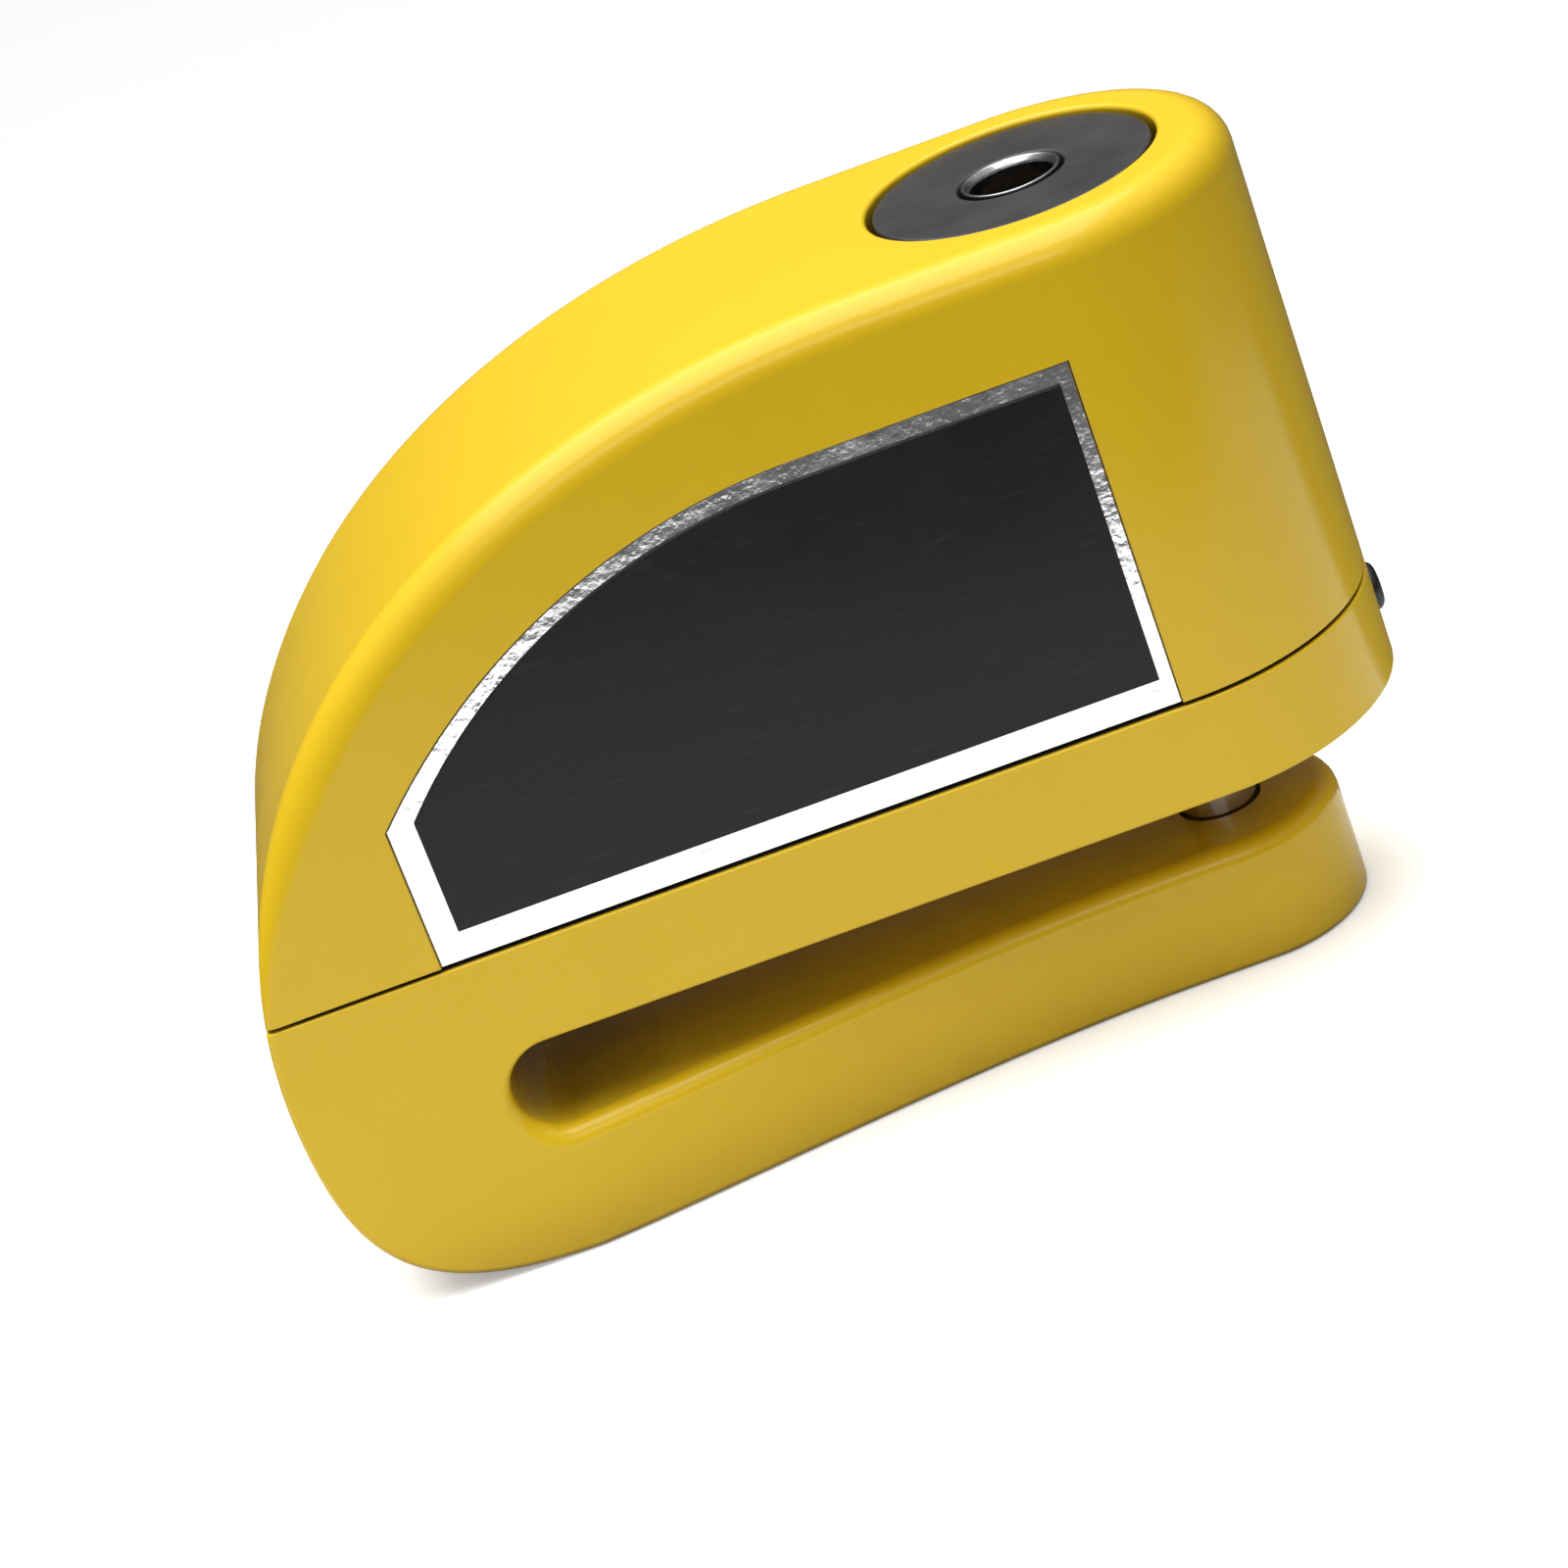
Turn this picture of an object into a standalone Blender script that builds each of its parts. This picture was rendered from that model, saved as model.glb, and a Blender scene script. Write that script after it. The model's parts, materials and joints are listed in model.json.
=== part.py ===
"""Alarm disc brake lock for a motorcycle, locked: a cast body in two halves, the push-down lock
barrel with its locking pin, and the siren electronics under the cover.

x runs from the nose to the barrel end, y across the body and z up from the flat underside. Every
piece is placed from the barrel's axis, by the lock_frame empty, which centres the lock on the
origin. Lengths are in metres."""

import math

import bmesh
import bpy

# Body
BODY_WIDTH = 0.032  # across the two flat flanks
NOSE_REACH = 0.073  # barrel axis to the tip of the nose
BODY_HEIGHT = 0.0632
PARTING_GAP = 0.0003
WALL = 0.0024
EDGE_ROUND = 0.0028  # cover
JAW_EDGE_ROUND = 0.0006
ROOF_RUN = 0.014  # level part of the roof in front of the barrel axis
NOSE_TIP_Z = 0.0173  # height of the foremost point
BROW_RISE = 0.0265  # how strongly the brow climbs from the nose tip
BROW_RUN = 0.0245  # how far behind the nose the brow bends into the roof
HEEL_RUN = 0.018  # how far the rounded heel reaches back under the nose
HEEL_BEND = 0.0035
HEEL_DROP = 0.012

# Disc slot and jaw
SLOT_FLOOR_Z = 0.0101
SLOT_GAP = 0.0076  # takes rotors 4 to 5 thick
SLOT_END = 0.0572  # barrel axis to the slot's closed end
SLOT_ROUND = 0.0037
JAW_HALF_WIDTH = 0.0090
SWEEP_START = 0.056  # barrel axis to where the flank starts to sweep in to the jaw
SWEEP_BEND = 0.046
SWEEP_REACH = 0.024
SWEEP_END = 0.006
DECK = 0.0029  # metal between the slot and the electronics
DECK_RIM = 0.0052  # the base's rim stands this far above its deck

# Barrel and key
PIN_RADIUS = 0.003
PIN_BITE = 0.0023  # how far the pin enters the jaw
HOUSING_WALL = 0.003  # round the plug
HEAD_LIP = 0.0006  # the head is this much wider than the housing
HEAD_RECESS = 0.0003
HEAD_RIM = 0.0003  # bevel round the head
CAP_THICKNESS = 0.002
TOWER_WALL = 0.0021
TOWER_DROP = 0.0005  # tower's top below the housing's
PLUG_RADIUS = 0.0067
PLUG_WALL = 0.0012
DISC_COUNT = 6
DISC_THICKNESS = 0.0012
KEYWAY_RADIUS = 0.0031
KEYWAY_COLLAR_RADIUS = 0.00375
MOUTH_DEPTH = 0.003  # plug front, ahead of the discs
PLUG_FLOOR = 0.0012
SIDEBAR_WIDTH = 0.001
COLLAR_PROUD = 0.0001  # the keyway collar stands this far above the head
PIN_CHAMFER = 0.0006
PIN_GRIP = 0.0052  # pin held in the housing
DOWEL_RADIUS = 0.001
DOWEL_REACH = 0.008
DOWEL_HEIGHT = 0.003  # above the housing's foot
RING_RADIUS = 0.0006  # rubber ring's section
RING_DROP = 0.0022  # below the housing's top
SPRING_HEIGHT = 0.0066  # return spring, pressed down
SPRING_ROOM = 0.002  # pin to the middle of the spring's wire
SPRING_WIRE = 0.00045
SPRING_TURNS = 5
FOOT_THICKNESS = 0.007
FOOT_TAPER = 0.0014
LATCH_THICKNESS = 0.0027
LATCH_THROW = 0.002
LATCH_NOSE = 0.0019  # how far the latch stands out of the housing
LATCH_HALF_WIDTH = 0.003
BOLT_FRONT = 0.003
BOLT_REAR = 0.004
BOLT_SIDE = 0.0025  # the bolt is this much narrower than the plug's bore
CAM_RADIUS = 0.0045
CAM_THICKNESS = 0.0015
CRANK_RADIUS = 0.001
STOP_SCREW_RADIUS = 0.0015
STOP_SCREW_DROP = 0.0085  # below the housing's top

# Electronics
CELL_RADIUS = 0.0058
CELL_THICKNESS = 0.0054
CELL_COUNT = 6
SIREN_RADIUS = 0.011
SIREN_HEIGHT = 0.0095
SIREN_X = -0.032
BOARD_THICKNESS = 0.0016
BOARD_GAP = 0.0017  # siren to board, for its pins
POST_RADIUS = 0.0024
POST_SCREW_RADIUS = 0.0010
POST_SCREW_HEAD = (0.0019, 0.0014)  # radius and height
POST_SCREW_LENGTH = 0.0066
BOARD_FRONT = 0.055  # barrel axis to the board's front edge
FRONT_POSTS = 0.050
BOARD_TO_TOWER = 0.0021
BOARD_TO_WALL = 0.0011
SOUND_RING = 0.0052
SOUND_HOLE_RADIUS = 0.001
SIREN_PORT = (0.0015, 0.0012)  # radius and depth
SIREN_CHAMFER = 0.0006
CHIP_FRONT = 0.053
CHIP_SIZE = (0.008, 0.008, 0.0012)
SENSOR_SPAN = (-0.039, -0.030)
COIL_X = -0.026
COIL_HEIGHT = 0.005
TRAY_WALL = 0.001
TRAY_FLOOR = 0.0008
TRAY_END = 0.0012
CONTACT_REACH = 0.0036
SWITCH_DROP = 0.002  # the switch plunger below the board
SWITCH_SPAN = (0.0062, 0.0012)  # the switch's two ends, in front of the tower
SWITCH_HALF_WIDTH = 0.0032
SWITCH_DEPTH = 0.003
PLUNGER_RADIUS = 0.0009
PLUNGER_REACH = 0.0034
CONTACT_THICKNESS = 0.0005

# Labels, screws and seal
LABEL_RECESS = 0.0005
LABEL_THICKNESS = 0.0002
LABEL_FRONT = 0.0583  # barrel axis to the label's front end
LABEL_TAIL = 0.0012
LABEL_SHOULDER = 0.0117  # above the parting line
LABEL_CROWN = 0.0279
LABEL_BEND = (0.0093, 0.0098)
LABEL_CROWN_BEND = 0.036
LABEL_CROWN_FRONT = 0.022
PANEL_MARGINS = (0.0021, 0.0023, 0.001, 0.0014)  # front, foot, tail and top
SCREW_RADIUS = 0.0014
NOSE_SCREW_INSET = 0.0085  # from the nose tip
NOSE_SCREW_HEAD = (0.0028, 0.002)  # radius and height
NOSE_SCREW_LENGTH = 0.0195
NOSE_HEAD_Z = 0.0115
NOSE_BOSS_RADIUS = 0.0032
NOSE_BOSS_HOLE = 0.0082  # depth above the cover's foot
TAIL_SCREW_DROP = 0.0032  # below the parting line
TAIL_SCREW_RADIUS = 0.0011
TAIL_SCREW_LENGTH = 0.0023
TAIL_HEAD_RADIUS = 0.0019
TAIL_HEAD_SINK = 0.0004
TONGUE_HALF_WIDTH = 0.003
TONGUE_DEPTH = 0.0056  # below the parting line
TONGUE_ROOT = 0.004
SEAL_WIDTH = 0.0008
SEAL_INSET = 0.0009
SEAL_HEIGHT = 0.0007
SEAL_FRONT = 0.0008  # nose tip to the seal's front
TAIL_SCREW_PROUD = 0.0006

# Clearances
GAP = 0.0003  # between pieces that touch
SLIDE_GAP = 0.0003  # round what slides or turns
HEAD_GAP = 0.00045  # round the head
SKIN = 0.00005  # between a label's layers
OVERRUN = 0.002  # how far a cutter passes the wall it cuts

# Places that follow from the sizes above, measured from the barrel axis and the underside
HALF = BODY_WIDTH / 2
TAIL_REACH = HALF + TAIL_SCREW_PROUD
BARREL_X = (NOSE_REACH - TAIL_REACH) / 2
CLEAR = HALF + 3 * OVERRUN  # a cutter's edge well outside the body
SLOT_ROOF_Z = SLOT_FLOOR_Z + SLOT_GAP
SLOT_MIDDLE_Z = SLOT_FLOOR_Z + SLOT_GAP / 2
DECK_Z = SLOT_ROOF_Z + DECK
PARTING_Z = DECK_Z + DECK_RIM  # where the cover meets the base
RIM_Z = PARTING_Z - PARTING_GAP / 2
COVER_FOOT_Z = PARTING_Z + PARTING_GAP / 2
PLUG_BORE_RADIUS = PLUG_RADIUS + SLIDE_GAP
HOUSING_RADIUS = PLUG_BORE_RADIUS + HOUSING_WALL
HEAD_RADIUS = HOUSING_RADIUS + HEAD_LIP
DISC_RADIUS = PLUG_RADIUS - PLUG_WALL - GAP
SPRING_RADIUS = PIN_RADIUS + SPRING_ROOM
BORE_RADIUS = HOUSING_RADIUS + SLIDE_GAP
TOWER_RADIUS = BORE_RADIUS + TOWER_WALL
HEAD_TOP_Z = BODY_HEIGHT - HEAD_RECESS
CAP_FOOT_Z = HEAD_TOP_Z - CAP_THICKNESS
HOUSING_TOP_Z = CAP_FOOT_Z - GAP
TOWER_TOP_Z = HOUSING_TOP_Z - TOWER_DROP
HOUSING_FOOT_Z = DECK_Z + SPRING_HEIGHT + 2 * GAP
LATCH_FLOOR_Z = HOUSING_FOOT_Z + FOOT_THICKNESS
LATCH_Z = LATCH_FLOOR_Z + GAP
CAM_Z = LATCH_Z + LATCH_THICKNESS + GAP
PLUG_FOOT_Z = CAM_Z + CAM_THICKNESS + GAP
PLUG_TOP_Z = HOUSING_TOP_Z - GAP
PIN_TIP_Z = SLOT_FLOOR_Z - PIN_BITE
BARREL_TRAVEL = SLOT_ROOF_Z - PIN_TIP_Z + GAP
STOP_SCREW_Z = HOUSING_TOP_Z - STOP_SCREW_DROP
BOARD_Z = DECK_Z + GAP + SIREN_HEIGHT + BOARD_GAP
BOARD_TOP_Z = BOARD_Z + BOARD_THICKNESS
BOARD_REAR_X = -TOWER_RADIUS - BOARD_TO_TOWER
BOARD_HALF_WIDTH = HALF - WALL - BOARD_TO_WALL
POST_Y = BOARD_HALF_WIDTH - POST_RADIUS + GAP / 3
POST_XS = (-FRONT_POSTS, BOARD_REAR_X - POST_RADIUS)
TRAY_FOOT_Z = BOARD_TOP_Z + GAP
CELL_Z = TRAY_FOOT_Z + TRAY_FLOOR + GAP + CELL_RADIUS
CELL_PITCH = CELL_THICKNESS + GAP
TRAY_MARGIN = TRAY_END + CONTACT_THICKNESS + 2 * GAP
CELLS_REAR_X = BOARD_REAR_X - BOARD_TO_TOWER / 3 - TRAY_MARGIN
CELLS_FRONT_X = CELLS_REAR_X - CELL_COUNT * CELL_PITCH + GAP
BESIDE_TRAY = CELL_RADIUS + 2 * GAP + TRAY_WALL
ROOM_BESIDE_TRAY = HALF - WALL - BESIDE_TRAY
NOSE_SCREW_X = NOSE_SCREW_INSET - NOSE_REACH
TAIL_SCREW_Z = PARTING_Z - TAIL_SCREW_DROP
TONGUE_X = TOWER_RADIUS + GAP
TONGUE_THICKNESS = HALF - SEAL_INSET - SEAL_WIDTH / 2 - 2 * SKIN - 5 * GAP / 3 - TONGUE_X
TONGUE_FOOT_Z = PARTING_Z - TONGUE_DEPTH
RING_Z = HOUSING_TOP_Z - RING_DROP
RING_GROOVE_RADIUS = HOUSING_RADIUS - 2 * RING_RADIUS
DOWEL_Z = HOUSING_FOOT_Z + DOWEL_HEIGHT
SWITCH_Z = BOARD_Z - SWITCH_DROP
BOLT_HALF_WIDTH = PLUG_BORE_RADIUS - BOLT_SIDE

FINE = 48  # sides of a large round piece
MEDIUM = 24
SMALL = 14


def clear_scene():
    for obj in list(bpy.data.objects):
        bpy.data.objects.remove(obj, do_unlink=True)


def collection(name):
    made = bpy.data.collections.new(name)
    bpy.context.scene.collection.children.link(made)
    return made


def empty(name, parent=None, location=(0, 0, 0)):
    """A frame that pieces hang on: the barrel axis, and one for each piece that moves."""
    made = bpy.data.objects.new(name, None)
    made.empty_display_size = 0.01
    made.parent = parent
    made.location = location
    parts.objects.link(made)
    return made


def material(name, colour, roughness, metallic=0.0):
    made = bpy.data.materials.new(name)
    made.use_nodes = True
    shader = made.node_tree.nodes["Principled BSDF"]
    shader.inputs["Base Color"].default_value = (*colour, 1)
    shader.inputs["Roughness"].default_value = roughness
    shader.inputs["Metallic"].default_value = metallic
    made.diffuse_color = (*colour, 1)
    return made


# Outlines


def bezier(start, handle, far_handle, end, steps):
    """Points along a cubic curve, both ends included."""
    points = []
    for step in range(steps + 1):
        t = step / steps
        weights = ((1 - t) ** 3, 3 * t * (1 - t) ** 2, 3 * t * t * (1 - t), t**3)
        points.append(
            tuple(
                sum(w * p[axis] for w, p in zip(weights, (start, handle, far_handle, end)))
                for axis in (0, 1)
            )
        )
    return points


def arc(centre, radius, start, end, steps):
    """Points along a circle's arc between two angles in degrees, both ends included."""
    angles = (math.radians(start + (end - start) * step / steps) for step in range(steps + 1))
    return [(centre[0] + radius * math.cos(a), centre[1] + radius * math.sin(a)) for a in angles]


def circle(radius, sides, centre=(0, 0)):
    return arc(centre, radius, 0, 360, sides)[:-1]


def inset(outline, distance):
    """A closed outline moved inwards by a distance, whichever way round it runs."""
    count = len(outline)
    area = sum(
        outline[i - 1][0] * outline[i][1] - outline[i][0] * outline[i - 1][1] for i in range(count)
    )
    side = 1 if area > 0 else -1
    moved = []
    for i, (x, y) in enumerate(outline):
        before, after = outline[i - 1], outline[(i + 1) % count]
        normals = []
        for (ax, ay), (bx, by) in ((before, (x, y)), ((x, y), after)):
            length = math.hypot(bx - ax, by - ay)
            normals.append((-(by - ay) / length * side, (bx - ax) / length * side))
        (ax, ay), (bx, by) = normals
        share = distance / (1 + ax * bx + ay * by)
        moved.append((x + (ax + bx) * share, y + (ay + by) * share))
    return moved


def side_outline():
    """The whole lock seen from the side: heel, nose, roof and tail, as (x, z)."""
    nose = -NOSE_REACH
    heel = bezier(
        (nose + HEEL_RUN, 0),
        (nose + HEEL_BEND, 0),
        (nose, NOSE_TIP_Z - HEEL_DROP),
        (nose, NOSE_TIP_Z),
        7,
    )
    brow = bezier(
        (nose, NOSE_TIP_Z),
        (nose, NOSE_TIP_Z + BROW_RISE),
        (nose + BROW_RUN, BODY_HEIGHT),
        (-ROOF_RUN, BODY_HEIGHT),
        16,
    )
    tail = HALF + OVERRUN
    return [(tail, 0), *heel, *brow[1:], (tail, BODY_HEIGHT)]


def plan_outline(half_width, front, corner=0.0):
    """The body seen from above: straight flanks and a half-round tail about the barrel axis."""
    tail = arc((0, 0), half_width, -90, 90, 24)
    if corner == 0:
        return [*tail, (front, half_width), (front, -half_width)]
    far = arc((front + corner, half_width - corner), corner, 90, 180, 4)
    near = arc((front + corner, corner - half_width), corner, 180, 270, 4)
    return [*tail, *far, *near]


def jaw_trim_outline():
    """What is cut away beside the jaw: the flank sweeps in to a narrow jaw with a round end."""
    sweep = bezier(
        (-SWEEP_START, HALF + GAP / 3),
        (-SWEEP_BEND, HALF - EDGE_ROUND / 3.5),
        (-SWEEP_REACH, JAW_HALF_WIDTH),
        (-SWEEP_END, JAW_HALF_WIDTH),
        12,
    )
    end = arc((0, 0), JAW_HALF_WIDTH, 90, -90, 16)
    back = [(x, -y) for x, y in reversed(sweep)]
    outside = [(-SWEEP_START, -CLEAR), (CLEAR, -CLEAR), (CLEAR, CLEAR), (-SWEEP_START, CLEAR)]
    return [*sweep, *end, *back, *outside]


def label_outline(border=(0, 0, 0, 0)):
    """The label, or a panel inside it: border is its margin at the front, foot, tail and top."""
    front, foot, tail, top = border
    left = front - LABEL_FRONT
    right = -LABEL_TAIL - tail
    crown = PARTING_Z + LABEL_CROWN - top
    shoulder = PARTING_Z + LABEL_SHOULDER
    curve = bezier(
        (left, shoulder),
        (left + LABEL_BEND[0] - front / 2, shoulder + LABEL_BEND[1] - top / 2),
        (-LABEL_CROWN_BEND, crown),
        (-LABEL_CROWN_FRONT, crown),
        10,
    )
    low = COVER_FOOT_Z + 2 * SKIN + foot
    return [(right, low), (right, crown), *reversed(curve), (left, low)]


# Shapes


def add(name, mesh, location, finish, parent):
    """Puts a mesh in the lock: a piece if it has a finish, and a hidden cutter if it has none."""
    obj = bpy.data.objects.new(name, mesh)
    obj.parent = parent or lock_frame
    obj.location = location
    if finish is None:
        cutters.objects.link(obj)
        obj.hide_render = True
        obj.display_type = "WIRE"
    else:
        parts.objects.link(obj)
        mesh.materials.append(finish)
    return obj


def smooth(mesh):
    mesh.shade_smooth()
    mesh.set_sharp_from_angle(angle=math.radians(32))


def mesh_of(name, build):
    """A mesh made by one bmesh operation, with its faces turned outwards."""
    bm = bmesh.new()
    build(bm)
    bmesh.ops.recalc_face_normals(bm, faces=bm.faces)
    mesh = bpy.data.meshes.new(name)
    bm.to_mesh(mesh)
    bm.free()
    smooth(mesh)
    return mesh


def block(name, low, high, finish=None, parent=None):
    size = [b - a for a, b in zip(low, high)]

    def build(bm):
        cube = bmesh.ops.create_cube(bm, size=1)
        bmesh.ops.scale(bm, vec=size, verts=cube["verts"])

    middle = [(a + b) / 2 for a, b in zip(low, high)]
    return add(name, mesh_of(name, build), middle, finish, parent)


def rod(name, radius, low, high, along="Z", centre=(0, 0), finish=None, parent=None, sides=None):
    """A round bar between two places on an axis. centre is its place on the two other axes."""

    def build(bm):
        bmesh.ops.create_cone(
            bm,
            cap_ends=True,
            segments=sides or (FINE if radius > 0.006 else SMALL),
            radius1=radius,
            radius2=radius,
            depth=high - low,
        )

    middle = (low + high) / 2
    places = {
        "X": (middle, centre[0], centre[1]),
        "Y": (centre[0], middle, centre[1]),
        "Z": (centre[0], centre[1], middle),
    }
    turns = {"X": (0, math.pi / 2, 0), "Y": (math.pi / 2, 0, 0), "Z": (0, 0, 0)}
    obj = add(name, mesh_of(name, build), places[along], finish, parent)
    obj.rotation_euler = turns[along]
    return obj


def turned(
    name, profile, finish=None, parent=None, closed=False, steps=FINE, along="Z", centre=(0, 0)
):
    """A turned shape: (radius, height) pairs that run down its outer side, turned about an axis."""
    mesh = bpy.data.meshes.new(name)
    edges = [(i, i + 1) for i in range(len(profile) - 1)]
    if closed:
        edges.append((len(profile) - 1, 0))
    mesh.from_pydata([(r, 0, z) for r, z in profile], edges, [])
    places = {"X": (0, centre[0], centre[1]), "Z": (centre[0], centre[1], 0)}
    obj = add(name, mesh, places[along], finish, parent)
    obj.rotation_euler = (0, math.pi / 2, 0) if along == "X" else (0, 0, 0)
    screw = obj.modifiers.new("turn", "SCREW")
    screw.steps = steps
    screw.render_steps = steps
    screw.use_merge_vertices = True
    screw.merge_threshold = 0.000001
    screw.use_smooth_shade = True
    return obj


def plate(name, loops, low, high, finish=None, parent=None, upright=False):
    """A flat outline with thickness: level between two heights, or upright between two y."""
    curve = bpy.data.curves.new(name, "CURVE")
    curve.dimensions = "2D"
    curve.fill_mode = "BOTH"
    curve.extrude = (high - low) / 2
    for loop in loops:
        spline = curve.splines.new("POLY")
        spline.points.add(len(loop) - 1)
        for point, (u, v) in zip(spline.points, loop):
            point.co = (u, v, 0, 1)
        spline.use_cyclic_u = True
    flat = bpy.data.objects.new(name + "_outline", curve)
    bpy.context.scene.collection.objects.link(flat)
    graph = bpy.context.evaluated_depsgraph_get()
    mesh = bpy.data.meshes.new_from_object(flat.evaluated_get(graph))
    bpy.data.objects.remove(flat)
    bm = bmesh.new()
    bm.from_mesh(mesh)
    bmesh.ops.remove_doubles(bm, verts=bm.verts, dist=0.000001)
    bmesh.ops.dissolve_limit(bm, angle_limit=0.001, verts=bm.verts, edges=bm.edges)
    bmesh.ops.recalc_face_normals(bm, faces=bm.faces)
    bm.to_mesh(mesh)
    bm.free()
    smooth(mesh)
    mesh.materials.clear()
    middle = (low + high) / 2
    obj = add(name, mesh, (0, middle, 0) if upright else (0, 0, middle), finish, parent)
    obj.rotation_euler = (math.pi / 2, 0, 0) if upright else (0, 0, 0)
    return obj


def coil(name, radius, wire, low, high, turns, finish, parent=None):
    """A compression spring about the barrel axis, its ends ground level by a flat last turn."""
    points_a_turn = 12
    curve = bpy.data.curves.new(name, "CURVE")
    curve.dimensions = "3D"
    curve.bevel_depth = wire
    curve.bevel_resolution = 2
    curve.use_fill_caps = True
    spline = curve.splines.new("POLY")
    last = turns * points_a_turn
    spline.points.add(last)
    bottom, top = low + wire, high - wire
    for i, point in enumerate(spline.points):
        angle = 2 * math.pi * i / points_a_turn
        height = bottom + (top - bottom) * i / last
        point.co = (radius * math.cos(angle), radius * math.sin(angle), height, 1)
    obj = bpy.data.objects.new(name, curve)
    obj.parent = parent or lock_frame
    curve.materials.append(finish)
    parts.objects.link(obj)
    return obj


def boolean(obj, operation, others):
    for other in others:
        modifier = obj.modifiers.new(other.name, "BOOLEAN")
        modifier.operation = operation
        modifier.object = other
        modifier.solver = "EXACT"


def cut(obj, *others):
    boolean(obj, "DIFFERENCE", others)


def join(obj, *others):
    boolean(obj, "UNION", others)


def keep_inside(obj, other):
    boolean(obj, "INTERSECT", [other])


def round_edges(obj, width, segments=2, sharper_than=50):
    bevel = obj.modifiers.new("rounded_edges", "BEVEL")
    bevel.width = width
    bevel.segments = segments
    bevel.limit_method = "ANGLE"
    bevel.angle_limit = math.radians(sharper_than)
    bevel.use_clamp_overlap = False


def screw_profile(head_radius, head_height, shank_radius, length, head_top):
    """A round-headed screw standing on its tip: its head's top is at head_top."""
    under = head_top - head_height
    return [
        (0, head_top),
        (head_radius * 0.7, head_top),
        (head_radius, head_top - head_height * 0.45),
        (head_radius, under),
        (shank_radius, under),
        (shank_radius, under - length + shank_radius / 2),
        (shank_radius / 2, under - length),
        (0, under - length),
    ]


# Body


def body_block(name, depth, finish=None):
    """The lock's whole outer form, or the same form a depth inside it."""
    outline = inset(side_outline(), depth) if depth else side_outline()
    solid = plate(name, [outline], -HALF - OVERRUN, HALF + OVERRUN, finish, upright=True)
    plan = plan_outline(HALF - depth, -NOSE_REACH - OVERRUN)
    plan = plate(name + "_plan", [plan], -OVERRUN, BODY_HEIGHT + OVERRUN)
    keep_inside(solid, plan)
    return solid


def base_casting():
    """Jaw, disc slot and deck in one casting, with the tower that the barrel slides in."""
    base = body_block("base_casting", 0, enamel)
    trim = plate("jaw_trim", [jaw_trim_outline()], -OVERRUN, SLOT_MIDDLE_Z)
    cut(base, trim)
    round_edges(base, JAW_EDGE_ROUND)
    above = block("above_base", (-NOSE_REACH - CLEAR, -CLEAR, RIM_Z), (CLEAR, CLEAR, 2 * BODY_HEIGHT))
    end = arc((-SLOT_END + SLOT_ROUND, SLOT_ROOF_Z - SLOT_ROUND), SLOT_ROUND, 90, 180, 5)
    toe = arc((-SLOT_END + SLOT_ROUND, SLOT_FLOOR_Z + SLOT_ROUND), SLOT_ROUND, 180, 270, 5)
    slot_outline = [(CLEAR, SLOT_ROOF_Z), *end, *toe, (CLEAR, SLOT_FLOOR_Z)]
    slot = plate("slot", [slot_outline], -CLEAR, CLEAR, upright=True)
    pocket_side = HALF - WALL - GAP
    pocket = block(
        "deck_pocket",
        (-BOARD_FRONT - 3 * GAP, -pocket_side, DECK_Z),
        (-BORE_RADIUS * 0.8, pocket_side, PARTING_Z + OVERRUN),
    )
    cut(base, above, slot, pocket)
    join(base, rod("tower", TOWER_RADIUS, DECK_Z - DECK / 2, TOWER_TOP_Z))
    for place in post_places():
        join(base, rod("board_post", POST_RADIUS, DECK_Z - DECK / 2, BOARD_Z - GAP, centre=place))
    pin_hole = PIN_RADIUS + SLIDE_GAP
    bored = [
        rod("barrel_bore", BORE_RADIUS, DECK_Z, TOWER_TOP_Z + OVERRUN),
        rod("pin_hole", pin_hole, SLOT_ROOF_Z - OVERRUN, DECK_Z + OVERRUN, sides=MEDIUM),
        rod("pin_socket", pin_hole, PIN_TIP_Z - GAP, SLOT_FLOOR_Z + OVERRUN, sides=MEDIUM),
    ]
    cut(base, *bored, *tower_openings(), *screw_holes(), seal_groove(), *sound_holes())
    return base


def post_places():
    return [(x, y) for x in POST_XS for y in (-POST_Y, POST_Y)]


def tower_openings():
    """The latch's channel, the window for the switch plunger and the stop screw's hole."""
    nose = HOUSING_RADIUS + LATCH_NOSE + SLIDE_GAP
    side = LATCH_HALF_WIDTH + GAP
    channel = block(
        "latch_channel", (0, -side, LATCH_FLOOR_Z - GAP), (nose, side, TOWER_TOP_Z + OVERRUN)
    )
    reach = PLUNGER_RADIUS + 5 * GAP / 3
    inner = HOUSING_RADIUS * 0.8
    window = block(
        "plunger_window",
        (-TOWER_RADIUS - OVERRUN, -reach, SWITCH_Z - reach),
        (-inner, reach, SWITCH_Z + reach),
    )
    hole = rod(
        "stop_screw_hole",
        STOP_SCREW_RADIUS + GAP,
        -TOWER_RADIUS - OVERRUN,
        -inner,
        along="X",
        centre=(0, STOP_SCREW_Z),
    )
    return channel, window, hole


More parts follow.
